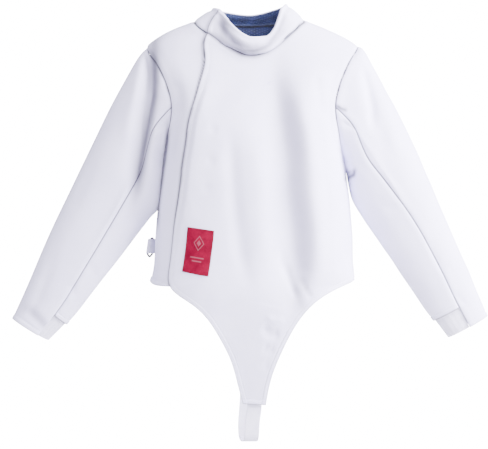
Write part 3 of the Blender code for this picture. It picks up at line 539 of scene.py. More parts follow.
# Painted shade along the lining's edge
LINING_PAINTED_EDGE_SHADE = (0.004, 0.006, 0.025, 1.0)
LABEL_CRIMSON = (0.155, 0.0008, 0.020, 1.0)
LABEL_DEEP = (0.115, 0.000, 0.014, 1.0)
LABEL_THREAD = (0.220, 0.060, 0.085, 1.0)
THREAD_WHITE = (0.830, 0.830, 0.860, 1.0)
THREAD_SHADE = (0.720, 0.720, 0.770, 1.0)
RING_DARK = (0.006, 0.006, 0.007, 1.0)
RING_BRIGHT = (0.040, 0.040, 0.045, 1.0)
FLOOR_PALE = (0.780, 0.780, 0.790, 1.0)
FLOOR_WHITE = (0.820, 0.820, 0.830, 1.0)

# Camera, floor and light. A lamp has its turn to the right of the camera, its height above the
# horizon, its distance, its size and its power
CAMERA_PLACE = (-0.0164, -3.0, -0.407)
LAMP_TARGET = (0.0, 0.0, -0.38)
CAMERA_SENSOR = 36.0
CAMERA_LENS = 107.96
FLOOR_SIZE = 3.2
FLOOR_HEIGHT = -1.25
WORLD_COLOUR = (0.92, 0.90, 1.0, 1.0)
WORLD_LIGHT = 0.32
WORLD_SEEN = 20.0
LAMPS = [
    ("key lamp", 66.0, 24.0, 2.3, 1.3, 470.0),
    ("front lamp", 12.0, 8.0, 3.0, 1.2, 104.0),
    ("top lamp", 0.0, 72.0, 3.0, 1.5, 70.0),
    ("left lamp", -50.0, 35.0, 3.0, 1.2, 95.0),
]

# Side seen by a crease: the front half or the back half of a tube or of the body
FRONT = -1.0
BACK = 1.0


class Curve:
    """A smooth line through a short table that never overshoots its rows."""

    def __init__(self, places, values):
        order = np.argsort(places)
        self.places = np.array(places, float)[order]
        self.values = np.array(values, float)[order]
        self.steps = np.diff(self.places)
        rises = np.diff(self.values) / self.steps
        slopes = [rises[0]]
        for before, after in zip(rises, rises[1:]):
            level = before * after <= 0.0
            slopes.append(0.0 if level else 2.0 * before * after / (before + after))
        slopes.append(rises[-1])
        self.slopes = np.array(slopes)

    def __call__(self, place):
        place = np.clip(place, self.places[0], self.places[-1])
        index = np.searchsorted(self.places, place, side="right") - 1
        index = np.clip(index, 0, len(self.steps) - 1)
        step = self.steps[index]
        t = (place - self.places[index]) / step
        return ((2 * t ** 3 - 3 * t ** 2 + 1) * self.values[index]
                + (t ** 3 - 2 * t ** 2 + t) * step * self.slopes[index]
                + (-2 * t ** 3 + 3 * t ** 2) * self.values[index + 1]
                + (t ** 3 - t ** 2) * step * self.slopes[index + 1])


def curve_of(rows, key, field):
    """Smooth line through one column of a table, over another."""
    return Curve([getattr(row, key) for row in rows], [getattr(row, field) for row in rows])


def through(places, steps):
    """A smooth line through places, read at some of its steps."""
    numbers = range(len(places))
    return np.stack([Curve(numbers, column)(steps) for column in np.transpose(places)], -1)


def mix(a, b, share):
    return a + (b - a) * share


def clamp(value):
    return np.clip(value, 0.0, 1.0)


def smooth(value):
    """Eases from 0 to 1 as the value does."""
    t = clamp(value)
    return t * t * (3 - 2 * t)


def unit(vectors):
    return vectors / np.maximum(np.linalg.norm(vectors, axis=-1, keepdims=True), 1e-12)


def bell(value):
    """1 at zero, and less and less on both sides of it."""
    return np.exp(-value ** 2)


ARMHOLE_HEIGHT, ARMHOLE_FRONT, ARMHOLE_BACK = [
    Curve(range(len(ARMHOLE)), column) for column in np.transpose(ARMHOLE)]
LEVEL_CURVES = [curve_of(BODY_LEVELS, "height", field) for field in BODY_LEVELS[0]._fields[1:]]
NECK_CURVE = curve_of(NECK, "turn", "height")
RIM_CURVE = curve_of(RIM, "turn", "height")
FLAP_HEIGHT = curve_of(FLAP, "row", "height")
FLAP_TURN = curve_of(FLAP, "height", "turn")


def wrapped(turn):
    """The same turn, counted from the right side round to the right side again."""
    return (turn + 90.0) % 360.0 - 90.0


def neck_height(turn):
    return NECK_CURVE(wrapped(turn))


def squarish(angle, power):
    """Sine and cosine of an angle in degrees, drawn out towards the corners of a square."""
    across = np.sin(np.radians(angle))
    along = np.cos(np.radians(angle))
    reach = (np.abs(across) ** power + np.abs(along) ** power) ** (-1 / power)
    return reach * across, reach * along


def run_out(share, past, fade):
    """Strength of a fold along its length: it runs past both its ends, and fades there."""
    return clamp((share + past) / fade) * clamp((1 + past - share) / fade)


def fold_depth(turn, height):
    """How far the hanging folds draw the cloth in at places on the body."""
    total = np.zeros(np.shape(turn))
    for fold in BODY_FOLDS:
        share = (fold.top - height) / (fold.top - fold.low)
        bend = fold.middle_turn - (fold.top_turn + fold.low_turn) / 2
        middle = mix(fold.top_turn, fold.low_turn, share) + 4 * share * (1 - share) * bend
        away = np.radians((turn - middle + 180) % 360 - 180) * LAP_RADIUS
        total += fold.depth * run_out(share, *FOLD_RUN_OUT) * bell(away / fold.width)
    return total


def form_points(turn, height):
    """Places on the plain body form, without folds."""
    centre, half_width, front, back = [curve(height) for curve in LEVEL_CURVES]
    across, along = squarish(turn, BODY_SQUARENESS)
    depth = np.where(along > 0, front, back)
    return np.stack([centre + half_width * across, -depth * along, height], -1)


def body_points(turn, height, lift=0.0):
    """Places on the outside of the cloth, raised by lift."""
    around = form_points(turn + 0.5, height) - form_points(turn - 0.5, height)
    upward = form_points(turn, height + 0.001) - form_points(turn, height - 0.001)
    offset = lift - fold_depth(turn, height)
    return form_points(turn, height) + unit(np.cross(around, upward)) * offset[..., None]


def lap_distance(turn, height):
    """Distance past the flap's edge, positive on the front panel's side."""
    around = (turn - FLAP_TURN(height) + 180) % 360 - 180
    return np.radians(around) * LAP_RADIUS


def front_lift(turn, height):
    """The front panel rises towards its flap edge, over the side front."""
    return LAP_RISE * clamp(1 - lap_distance(turn, height) / LAP_FADE)


def hem_flare(height):
    return HEM_FLARE * clamp(1 - (height - SIDE_HEM_HEIGHT) / HEM_FLARE_HEIGHT) ** 2


def side_front_lift(turn, height):
    """The side front sinks below the flap and flares at its hem."""
    past = lap_distance(turn, height)
    sink = np.where(past < 0, LAP_SINK * clamp(1 + past / LAP_APPROACH),
                    mix(LAP_SINK, LAP_DEPTH, clamp(past / LAP_FADE)))
    return hem_flare(height) * clamp(-past / LAP_FADE) - sink


def back_lift(turn, height):
    """The back flares at its hem towards the right side."""
    return hem_flare(height) * clamp((turn - BACK_FLARE_START) / BACK_FLARE_FADE)


def fine_places(count, parts, high=True):
    """Places from 0 to count, parts to each whole number, and closer still beside a cut edge."""
    close = np.arange(1, EDGE_CELLS * EDGE_PARTS) / (parts * EDGE_PARTS)
    places = np.union1d(np.linspace(0, count, round(count * parts) + 1), close)
    if high:
        places = np.union1d(places, count - close)
    return places[np.append(True, np.diff(places) > 1e-6)]


def edge_of(turn, height):
    """An edge as a list of turns and heights."""
    return np.stack(np.broadcast_arrays(turn, height), -1)


def seam_edge(rows, side, back=False):
    """Down the edge that shoulder, armhole and side seam make."""
    step = np.clip(rows - SHOULDER_ROWS, 0, ARMHOLE_ROWS)
    turn = (ARMHOLE_BACK if back else ARMHOLE_FRONT)(step)
    shoulder = mix(neck_height(90.0 * side), SHOULDER_TIP_HEIGHT, rows / SHOULDER_ROWS)
    share = (rows - SHOULDER_ROWS - ARMHOLE_ROWS) / SIDE_ROWS
    below = mix(UNDERARM_HEIGHT, SIDE_HEM_HEIGHT, share)
    height = np.where(rows < SHOULDER_ROWS, shoulder, np.where(share > 0, below, ARMHOLE_HEIGHT(step)))
    if side > 0:
        return edge_of(turn, height)
    return edge_of(360.0 - turn if back else -turn, height)


def body_grid(rows, columns, left, right, top, bottom, lift):
    """Cloth grid between four edges drawn on the body form."""
    v = (rows / rows[-1])[:, None, None]
    u = (columns / columns[-1])[None, :, None]
    sides = mix(left[:, None, :], right[:, None, :], u)
    ends = mix(top[None, :, :], bottom[None, :, :], v)
    square = mix(mix(top[0], top[-1], u), mix(bottom[0], bottom[-1], u), v)
    place = sides + ends - square
    turn, height = place[..., 0], place[..., 1]
    return body_points(turn, height, lift(turn, height))


def point_edge(rows, side):
    """Down one edge of the groin point, by rows counted from the hem's corner."""
    if side > 0:
        places = [(90.0, SIDE_HEM_HEIGHT)] + [place[2:] for place in GROIN_POINT]
    else:
        places = [(FLAP[-1].turn, FLAP[-1].height)] + [place[:2] for place in GROIN_POINT]
    return through(places, rows)


def front_grid():
    """The big front, from its flap edge to the left side seam, down to the groin point."""
    columns = fine_places(FRONT_COLUMNS, COLUMN_PARTS)
    below = (FRONT_ROWS > BODY_ROWS)[:, None]
    height = FLAP_HEIGHT(FRONT_ROWS)
    past = FRONT_ROWS - BODY_ROWS
    left = np.where(below, point_edge(past, -1), edge_of(FLAP_TURN(height), height))
    right = np.where(below, point_edge(past, 1), seam_edge(FRONT_ROWS, 1))
    share = columns / FRONT_COLUMNS
    turn = mix(NECK_FLAP_TURN, 90.0, share)
    low = GROIN_POINT[-1]
    bottom = edge_of(mix(low.right_turn, low.left_turn, share), mix(low.right, low.left, share))
    top = edge_of(turn, neck_height(turn))
    return body_grid(FRONT_ROWS, columns, left, right, top, bottom, front_lift)


def side_front_turns(columns):
    """Turns along the neck seam of the side front, to its hidden edge."""
    shown = mix(-90.0, NECK_FLAP_TURN, columns / SIDE_FRONT_COLUMNS)
    hidden = NECK_FLAP_TURN + LAP_TURN * (columns - SIDE_FRONT_COLUMNS) / LAP_COLUMNS
    return np.where(columns <= SIDE_FRONT_COLUMNS, shown, hidden)


def side_front_grid():
    """The narrow right front, which runs on under the flap."""
    last = SIDE_FRONT_COLUMNS + LAP_COLUMNS
    rows = fine_places(BODY_ROWS, BODY_PARTS)
    columns = fine_places(last, COLUMN_PARTS)
    slant = neck_height(NECK_FLAP_TURN + LAP_TURN) - FLAP_HEIGHT(0)
    height = FLAP_HEIGHT(rows)
    hidden = edge_of(FLAP_TURN(height) + LAP_TURN,
                     height + slant * clamp(1 - rows / LAP_SLANT_ROWS))
    turn = side_front_turns(columns)
    share = columns / last
    drop = (FLAP[-1].height - SIDE_HEM_HEIGHT) * np.sin(np.pi / 2 * clamp(1.5 * share))
    hem = edge_of(mix(-90.0, FLAP[-1].turn + LAP_TURN, share), SIDE_HEM_HEIGHT + drop)
    return body_grid(rows, columns, seam_edge(rows, -1), hidden, edge_of(turn, neck_height(turn)),
                     hem, side_front_lift)


def back_grid():
    """The back, from the left side seam round to the right one."""
    rows = fine_places(BODY_ROWS, BODY_PARTS)
    columns = fine_places(BACK_COLUMNS, COLUMN_PARTS)
    share = columns / BACK_COLUMNS
    turn = mix(90.0, 270.0, share)
    drop = (BACK_HEM_HEIGHT - SIDE_HEM_HEIGHT) * np.sin(np.pi * share)
    return body_grid(rows, columns, seam_edge(rows, 1, True), seam_edge(rows, -1, True),
                     edge_of(turn, neck_height(turn)), edge_of(turn, SIDE_HEM_HEIGHT + drop),
                     back_lift)


def collar_places():
    """Turns and lifts along the collar's seam, from the flap's edge round and on past it."""
    columns = fine_places(FRONT_COLUMNS, COLLAR_FRONT_PARTS, False)
    front = mix(NECK_FLAP_TURN, 90.0, columns / FRONT_COLUMNS)
    back = mix(90.0, 270.0, np.linspace(0, 1, BACK_COLUMNS * COLLAR_BACK_PARTS + 1))[1:]
    under = SIDE_FRONT_COLUMNS + LAP_COLUMNS
    under_turn = side_front_turns(np.linspace(0, under, under * COLLAR_BACK_PARTS + 1))[1:]
    lift = np.concatenate([front_lift(front, neck_height(front)), back * 0.0,
                           side_front_lift(under_turn, neck_height(under_turn))])
    return np.concatenate([front, back, under_turn + 360.0]), lift


def collar_grid():
    """One strip round the neck, from its rim at the top down to the neck seam."""
    turn, lift = collar_places()
    base = body_points(turn, neck_height(turn), lift)
    heading = np.degrees(np.arctan2(base[:, 0] - RIM_CENTRE, -base[:, 1]))
    heading = np.where(heading < turn - 180, heading + 360, heading)
    heading = np.where(heading < turn - 180, heading + 360, heading)
    across = np.sin(np.radians(heading))
    along = np.cos(np.radians(heading))
    depth = np.where(along > 0, RIM_FRONT, RIM_BACK)
    rim = np.stack([RIM_CENTRE + (RIM_HALF_WIDTH + lift) * across, -(depth + lift) * along,
                    RIM_CURVE(wrapped(heading))], -1)
    outward = np.stack([across, -along, across * 0.0], -1)
    share = fine_places(1, COLLAR_PARTS)[::-1][:, None, None]
    front = (COLLAR_FRONT_BULGE * np.maximum(along, 0.0) ** 2)[None, :, None]
    bulge = (COLLAR_BULGE * np.sin(np.pi * share)
             + front * np.sin(np.pi * share ** COLLAR_FRONT_POWER))
    return mix(base[None], rim[None], share) + outward[None] * bulge


def armhole_points(side, angle):
    """Places on the armhole's edge, by the angle round the sleeve."""
    back = angle > 180.0
    step = np.where(back, 360.0 - angle, angle) / SLEEVE_STEP
    turn = np.where(back, ARMHOLE_BACK(step), ARMHOLE_FRONT(step))
    if side < 0:
        turn = np.where(back, 360.0 - turn, -turn)
    return body_points(turn, ARMHOLE_HEIGHT(step), turn * 0.0)


def sleeve_fold(folds, angle, station):
    total = np.zeros(np.shape(angle))
    for fold in folds:
        share = (station - fold.top_row) / (fold.low_row - fold.top_row)
        away = (angle - mix(fold.top_turn, fold.low_turn, clamp(share))) / fold.width_turn
        total += fold.depth * run_out(share, *SLEEVE_FOLD_RUN_OUT) * bell(away)
    return total


def sleeve_points(curves, folds, angle, station, inset=0.0):
    """Places on a sleeve, by the angle round it and the station along it, from 1 on."""
    outer_x, outer_z, inner_x, inner_z, front, back = [curve(station) for curve in curves[:6]]
    along, across = squarish(angle, SLEEVE_SQUARENESS)
    depth = np.where(along > 0, front, back)
    spoke = np.stack([(outer_x - inner_x) / 2 * across, -depth * along,
                      (outer_z - inner_z) / 2 * across], -1)
    length = np.linalg.norm(spoke, axis=-1)
    drawn = inset + sleeve_fold(folds, angle, station)
    centre = np.stack([(outer_x + inner_x) / 2, 0 * outer_x, (outer_z + inner_z) / 2], -1)
    return centre + spoke * (1 - drawn / length)[..., None]


def sleeve_curves(sections):
    places = range(1, len(sections) + 1)
    return [Curve(places, column) for column in np.transpose(sections)]


def sleeve_grid(sections, folds, side, under):
    """Upper or under sleeve, from the armhole to the cuff or to the cuff insert."""
    curves = sleeve_curves(sections)
    station = fine_places(len(sections) - (1.0 if under else 0.0), SLEEVE_PARTS)[:, None]
    blend = clamp(station)
    later = np.maximum(station, 1.0)
    starts = [FRONT_SEAM_START, BACK_SEAM_START]
    seams = [mix(start, curve(later), blend) for start, curve in zip(starts, curves[6:])]
    if not under:
        starts = [starts[1] - 360, starts[0]]
        seams = [seams[1] - 360, seams[0]]
    count = round((starts[1] - starts[0]) / SLEEVE_STEP)
    share = (fine_places(count, SLEEVE_COLUMN_PARTS) / count)[None, :]
    angle = mix(seams[0], seams[1], share)
    root = armhole_points(side, (mix(starts[0], starts[1], share) + 0 * station) % 360)
    points = sleeve_points(curves, folds, angle % 360, later + 0 * angle)
    points = soften(mix(root, points, blend[..., None]), SLEEVE_SOFTENING)
    return points[:, ::-1] if side > 0 else points


def insert_grid(sections, folds, side):
    """Elastic insert that carries on from the under sleeve to the end of the cuff."""
    curves = sleeve_curves(sections)
    last = float(len(sections))
    station = np.linspace(last - 1 - INSERT_TUCK, last, INSERT_ROWS + 1)[:, None]
    share = np.linspace(0, 1, INSERT_COLUMNS + 1)[None, :]
    angle = mix(curves[6](station), curves[7](station), share)
    ribs = INSERT_RIB * np.cos(share * 2 * np.pi * INSERT_RIBS)
    points = sleeve_points(curves, folds, angle, station + 0 * angle, INSERT_INSET - ribs)
    return points[:, ::-1] if side > 0 else points


def soften(points, passes):
    """Relax a grid along its length, with its first and last rows kept."""
    points = points.copy()
    for _ in range(passes):
        points[1:-1] = (points[:-2] + 2 * points[1:-1] + points[2:]) / 4
    return points


def eased(points):
    """A grid with its sharp bends eased in both directions, at no loss of size."""
    def once(grid):
        grid = soften(grid, BODY_SOFTENING)
        return soften(grid.swapaxes(0, 1), BODY_SOFTENING).swapaxes(0, 1)
    first = once(points)
    return 2 * first - once(first)


def outward(points):
    """Outward direction at each point of a grid."""
    return unit(np.cross(np.gradient(points, axis=0), np.gradient(points, axis=1)))


def line_distance(points, line):
    """Distance from each point of a grid to a line of points in space."""
    shape = points.shape[:-1]
    flat = points.reshape(-1, 3)
    best = np.full(len(flat), 1.0)
    for a, b in zip(line, line[1:]):
        step = b - a
        size = max(float(step @ step), 1e-12)
        t = clamp((flat - a) @ step / size)
        best = np.minimum(best, np.linalg.norm(flat - a - t[:, None] * step, axis=1))
    return best.reshape(shape)


def crease_depth(points, face, rows):
    """How far the creases of one face draw the cloth in, by places seen from the front."""
    x, z = points[..., 0], points[..., 2]
    total = np.zeros(x.shape)
    for crease in rows:
        line = crease.line
        lengths = np.linalg.norm(np.diff(line, axis=0), axis=1)
        starts = np.append(0.0, np.cumsum(lengths))
        nearest, share, side = np.ones(x.shape), np.zeros(x.shape), np.zeros(x.shape)
        for a, b, start, length in zip(line, line[1:], starts, lengths):
            step = (b - a) / length
            across, up = x - a[0], z - a[1]
            along = np.clip(across * step[0] + up * step[1], 0, length)
            away = np.hypot(across - along * step[0], up - along * step[1])
            closer = away < nearest
            nearest = np.where(closer, away, nearest)
            share = np.where(closer, (start + along) / starts[-1], share)
            side = np.where(closer, np.sign(up * step[0] - across * step[1]), side)
        fade = smooth(np.minimum(share, 1 - share) / CREASE_FADE)
        total += crease.depth * fade * bell(nearest / (crease.width * (1 + crease.lean * side)))
    return total * clamp(0.5 + face * points[..., 1] / FACE_BLEND)


def flatter(points, side_seam):
    """A body grid with its front made a little flatter, but not beside its side seam."""
    height = points[..., 2]
    centre, half_width, depth, _ = [curve(height) for curve in LEVEL_CURVES]
    share = np.minimum(np.abs(points[..., 0] - centre) / half_width, 1.0)
    rise = [(1 - share ** power) ** (1 / power) for power in (BODY_SQUARENESS, FLAT_SQUARENESS)]
    fade = smooth((FLAT_CORNER - share) / FLAT_FADE) * smooth((FLAT_TOP - height) / FLAT_TOP_FADE)
    fade = fade * smooth(line_distance(points, points[side_seam]) / FLAT_HOLD)
    result = points.copy()
    result[..., 1] -= depth * (rise[1] - rise[0]) * fade * (points[..., 1] < 0)
    return result


def cloth_waves(points):
    """Faint uneven waves that no cut line explains."""
    waves = np.zeros(points.shape[:-1])
    for height, turns, start in WAVES:
        waves += height * np.sin(points @ turns + start)
    return waves


def dressed(points, faces, seams=(), hems=()):
    """A grid with its creases, its waves, and its sewn and turned edges."""
    offset = cloth_waves(points)
    for face, rows in faces:
        offset = offset - crease_depth(points, face, rows)
    calm = np.ones(points.shape[:2])
    for line in hems:
        away = line_distance(points, line)
        calm = calm * smooth(away / HEM_CALM)
        band = HEM_RISE * (1 - smooth((away - HEM_WIDTH + HEM_STEP) / HEM_STEP))
        groove = HEM_GROOVE * bell((away - HEM_WIDTH) / HEM_GROOVE_WIDTH)
        offset = offset * mix(HEM_CALM_LEAST, 1.0, calm) + band - groove
    for line in seams:
        away = line_distance(points, line)
        dip = SEAM_DIP * clamp(1 - away / SEAM_WIDTH) ** 2
        puff = SEAM_PUFF * bell((away - SEAM_PUFF_PLACE) / SEAM_PUFF_WIDTH)
        offset = offset - dip + puff
    return points + outward(points) * offset[..., None]


def moved(points, distance):
    return points + outward(points) * distance


def new_mesh(name, points, faces):
    mesh = bpy.data.meshes.new(name)
    mesh.from_pydata(np.reshape(points, (-1, 3)).tolist(), [], faces)
    mesh.shade_smooth()
    return mesh


def add_object(name, data):
    thing = bpy.data.objects.new(name, data)
    bpy.context.scene.collection.objects.link(thing)
    return thing


def add_piece(name, mesh, node, material):
    piece = add_object(name, mesh)
    mesh.materials.append(material)
    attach(piece, "root")
    if node:
        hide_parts(node)
    return piece


def grid_faces(points):
    """Faces of a grid, as the numbers of their four corners."""
    rows, columns = points.shape[:2]
    index = np.arange(rows * columns).reshape(rows, columns)
    faces = np.stack([index[:-1, :-1], index[1:, :-1], index[1:, 1:], index[:-1, 1:]], -1)
    return faces.reshape(-1, 4).tolist()


def grid_mesh(name, points, plain):
    """Mesh of a grid, with each point's place in the plain cloth in metres for its weave."""
    mesh = new_mesh(name, points, grid_faces(points))
    weave = []
    for axis in (1, 0):
        steps = np.linalg.norm(np.diff(plain, axis=axis), axis=2)
        lead = np.zeros_like(np.take(plain[..., 0], [0], axis))
        reach = np.concatenate([lead, np.cumsum(steps, axis=axis)], axis)
        weave.append(reach - np.take(reach, [plain.shape[axis] // 2], axis))
    values = np.stack([*weave, 0 * weave[0]], -1).astype(np.float32)
    attribute = mesh.attributes.new("weave", "FLOAT_VECTOR", "POINT")
    attribute.data.foreach_set("vector", values.ravel())
    return mesh


def add_cloth(name, points, wall, node, material, offset=-1.0, plain=None):
    """A grid as a thin shell of cloth with softened edges."""
    mesh = grid_mesh(name, points, points if plain is None else plain)
    piece = add_piece(name, mesh, node, material)
    solidify = piece.modifiers.new("wall", "SOLIDIFY")
    solidify.thickness = wall
    solidify.offset = offset
    solidify.use_rim = True
    solidify.use_quality_normals = True
    bevel = piece.modifiers.new("soft edges", "BEVEL")
    bevel.width = wall * EDGE_ROUNDING
    bevel.segments = 2
    bevel.limit_method = "ANGLE"
    bevel.angle_limit = math.radians(BEVEL_ANGLE)
    return piece


def surface_of(points):
    """A grid as a surface to lay stitches on."""
    return BVHTree.FromPolygons(points.reshape(-1, 3).tolist(), grid_faces(points))


def lengths_along(line):
    """Distance along a line of points at each of them."""
    return np.append(0.0, np.cumsum(np.linalg.norm(np.diff(line, axis=0), axis=1)))


def places_along(line, places):
    """Points of a line at some distances along it."""
    lengths = lengths_along(line)
    return np.stack([np.interp(places, lengths, column) for column in line.T], -1)


def line_beside(points, line, distance):
    """A line inside a grid, beside one of its edges, by the grid's own surface."""
    surface = surface_of(points)
    result = []
    for k, place in enumerate(line):
        before = line[max(k - 2, 0)]
        after = line[min(k + 2, len(line) - 1)]
        normal = surface.find_nearest(Vector(place))[1]
        aside = Vector(after - before).normalized().cross(normal) * distance
        near, far = [surface.find_nearest(Vector(place) + aside * way) for way in (1, -1)]
        chosen = near if near[3] < far[3] else far
        result.append(np.array(chosen[0] + chosen[1] * THREAD_LIFT))
    return np.array(result)


def stitches(lines):
    """Points and faces of short threads that follow lines of points."""
    verts, faces = [], []
    for line in lines:
        reach = lengths_along(line)
        for start in np.arange(STITCH_PITCH / 2, reach[-1] - STITCH_LENGTH, STITCH_PITCH):
            add_thread(verts, faces, *places_along(line, (start, start + STITCH_LENGTH)))
    return verts, faces


def add_thread(verts, faces, start, end):
    """One stitch: a short thread, thin at its ends and thick in its middle."""
    direction = unit(end - start)
    aside = unit(np.cross(direction, THREAD_ASIDE))
    other = np.cross(direction, aside)
    first = len(verts)
    for share, size in THREAD_RINGS:
        middle = mix(start, end, share)
        for way in (aside, other, -aside, -other):
            verts.append(middle + way * THREAD_RADIUS * size)
    for ring in range(3):
        for k in range(4):
            a = first + ring * 4 + k
            b = first + ring * 4 + (k + 1) % 4
            faces.append((a, b, b + 4, a + 4))
    faces.append((first + 3, first + 2, first + 1, first))
    faces.append((first + 12, first + 13, first + 14, first + 15))


def add_stitching(name, lines, material):
    return add_piece(name, new_mesh(name, *stitches(lines)), None, material)


class Graph:
    """A material's nodes, added and joined one line at a time."""

    def __init__(self, name):
        self.material = bpy.data.materials.new(name)
        self.material.use_nodes = True
        self.tree = self.material.node_tree
        self.tree.nodes.clear()
        output = self.tree.nodes.new("ShaderNodeOutputMaterial")
        self.shader = self.tree.nodes.new("ShaderNodeBsdfPrincipled")
        self.tree.links.new(self.shader.outputs["BSDF"], output.inputs["Surface"])

    def put(self, node, values):
        """Set a node's sockets to numbers or colours, or join them to other nodes' outputs."""
        for name, value in values.items():
            if isinstance(value, bpy.types.NodeSocket):
                self.tree.links.new(value, node.inputs[name])
            else:
                node.inputs[name].default_value = value

    def add(self, kind, output, values, **settings):
        """Add a node with its settings and its inputs, and give one of its outputs."""
        node = self.tree.nodes.new("ShaderNode" + kind)
        for name, value in settings.items():
            setattr(node, name, value)
        self.put(node, values)
        return node.outputs[output]

    def calc(self, operation, first, second=0.0):
        return self.add("Math", 0, {0: first, 1: second}, operation=operation)

    def times(self, first, second):
        return self.calc("MULTIPLY", first, second)

    def plus(self, first, second):
        return self.calc("ADD", first, second)

    def place(self):
        """Place in the cloth in metres, as a vector, and its two parts."""
        place = self.add("Attribute", "Vector", {}, attribute_name="weave")
        parts = self.tree.nodes.new("ShaderNodeSeparateXYZ")
        self.put(parts, {0: place})
        return place, parts.outputs[0], parts.outputs[1]

    def object_place(self):
        return self.add("TexCoord", "Object", {})

    def marked(self, name):
        """A mark on the mesh from 0 to 1 where shade is painted: along its edges, or in its deep
        folds.
        """
        return self.add("Attribute", "Fac", {}, attribute_name=name)

    def noise(self, place, scale, detail=2.0):
        return self.add("TexNoise", "Fac", {"Vector": place, "Scale": scale, "Detail": detail})

    def wave(self, place, pitch):
        """A sine between -1 and 1 that comes round once in each pitch."""
        return self.calc("SINE", self.times(place, 2 * math.pi / pitch))

    def fit(self, value, low, high, new_low=0.0, new_high=1.0):
        values = {"Value": value, "From Min": low, "From Max": high, "To Min": new_low,
                  "To Max": new_high}
        return self.add("MapRange", "Result", values, interpolation_type="SMOOTHSTEP")

    def blend(self, share, first, second):
        values = {"Factor": share, "A": first, "B": second}
        return self.add("Mix", "Result", values, data_type="RGBA")

    def bump(self, height, distance, **below):
        return self.add("Bump", "Normal", {"Distance": distance, "Height": height, **below})

    def finish(self, colour, roughness, normal, **constants):
        self.put(self.shader, {"Base Color": colour, "Roughness": roughness, "Normal": normal})
        self.put(self.shader, {name.replace("_", " "): constants[name] for name in constants})
        return self.material


def twill(graph, u, v, pitch):
    """Height of a twill weave: single threads, and the slanted lines that they make."""
    threads = graph.times(graph.wave(u, pitch), graph.wave(v, pitch))
    slant = graph.wave(graph.plus(u, v), pitch * 3)
    return graph.plus(graph.times(threads, 0.3), graph.times(slant, 0.5))


def cloth_material():
    """Thick white twill: faint clouds and slubs, painted shade in its seams, along its hems and in its
    deepest folds, and softly uneven.
    """
    graph = Graph("jacket_cloth_weave")
    _, u, v = graph.place()
    place = graph.object_place()
    slubs = graph.noise(place, 520.0, 3.0)
    colour = graph.blend(graph.fit(graph.noise(place, 16.0, 3.0), 0.35, 0.65), CLOTH_COOL, CLOTH_WARM)
    colour = graph.blend(graph.fit(slubs, 0.45, 0.75, 0.0, 0.3), colour, CLOTH_SLUB)
    # Painted shade in the deepest folds, then painted shade along seams, hems and the flap's edge
    colour = graph.blend(graph.marked("fold"), colour, CLOTH_PAINTED_FOLD_SHADE)
    colour = graph.blend(graph.times(graph.marked("edge"), 0.97), colour, CLOTH_PAINTED_EDGE_SHADE)
    roughness = graph.fit(graph.noise(place, 90.0), 0.3, 0.7, 0.72, 0.88)
    soft = graph.bump(graph.noise(place, 40.0, 2.0), 0.0006)
    rough = graph.bump(slubs, 0.0001, Normal=soft)
    normal = graph.bump(twill(graph, u, v, THREAD_PITCH), 0.00006, Normal=rough)
    return graph.finish(colour, roughness, normal, Sheen_Weight=0.12, Sheen_Roughness=0.5,
                        Specular_IOR_Level=0.3)


def elastic_material():
    """Ribbed elastic or webbing: cords along it, and the weft that crosses them, with painted shade
    between the cords and along its sewn edge.
    """
    graph = Graph("elastic_ribs")
    place, u, v = graph.place()
    cords = graph.wave(u, ELASTIC_PITCH)
    weft = graph.wave(v, ELASTIC_PITCH * 0.6)
    height = graph.plus(graph.times(cords, 0.7), graph.times(weft, 0.3))
    # Painted shade between the raised cords
    tint = graph.blend(graph.fit(height, -1.0, 0.4, 0.6, 0.0), ELASTIC_WHITE, ELASTIC_PAINTED_SHADE_AND_TONE)
    cloudy = graph.fit(graph.noise(place, 60.0, 3.0), 0.4, 0.7, 0.0, 0.4)
    tint = graph.blend(cloudy, tint, ELASTIC_PAINTED_SHADE_AND_TONE)
    # Painted shade along the sewn edge
    tint = graph.blend(graph.marked("edge"), tint, CLOTH_PAINTED_EDGE_SHADE)
    roughness = graph.fit(graph.noise(place, 120.0), 0.3, 0.7, 0.62, 0.80)
    return graph.finish(tint, roughness, graph.bump(height, 0.0002), Sheen_Weight=0.1)


def lining_material():
    """Navy lining, smooth and finely woven, with small paler dashes in even rows."""
    graph = Graph("lining_weave")
    place, u, v = graph.place()
    height = twill(graph, u, v, THREAD_PITCH * 0.6)
    colour = graph.blend(graph.fit(graph.noise(place, 40.0, 3.0), 0.35, 0.65), LINING_NAVY,
                         LINING_BRIGHT)
    rows = graph.times(graph.wave(u, DASH_PITCH[0]), graph.wave(v, DASH_PITCH[1]))
    colour = graph.blend(graph.fit(rows, 0.70, 0.85, 0.0, 0.5), colour, LINING_DASH)
    # Painted shade along the lining's tucked edge
    colour = graph.blend(graph.times(graph.marked("edge"), 0.8), colour, LINING_PAINTED_EDGE_SHADE)
    roughness = graph.fit(graph.noise(place, 200.0), 0.3, 0.7, 0.5, 0.65)
    return graph.finish(colour, roughness, graph.bump(height, 0.0001), Sheen_Weight=0.05)


def between_lines(graph, value, low, high):
    """1 where a value lies between two numbers, with soft ends."""
    above = graph.fit(value, low - LABEL_BLUR, low + LABEL_BLUR)
    below = graph.fit(value, high - LABEL_BLUR, high + LABEL_BLUR, 1.0, 0.0)
    return graph.times(above, below)


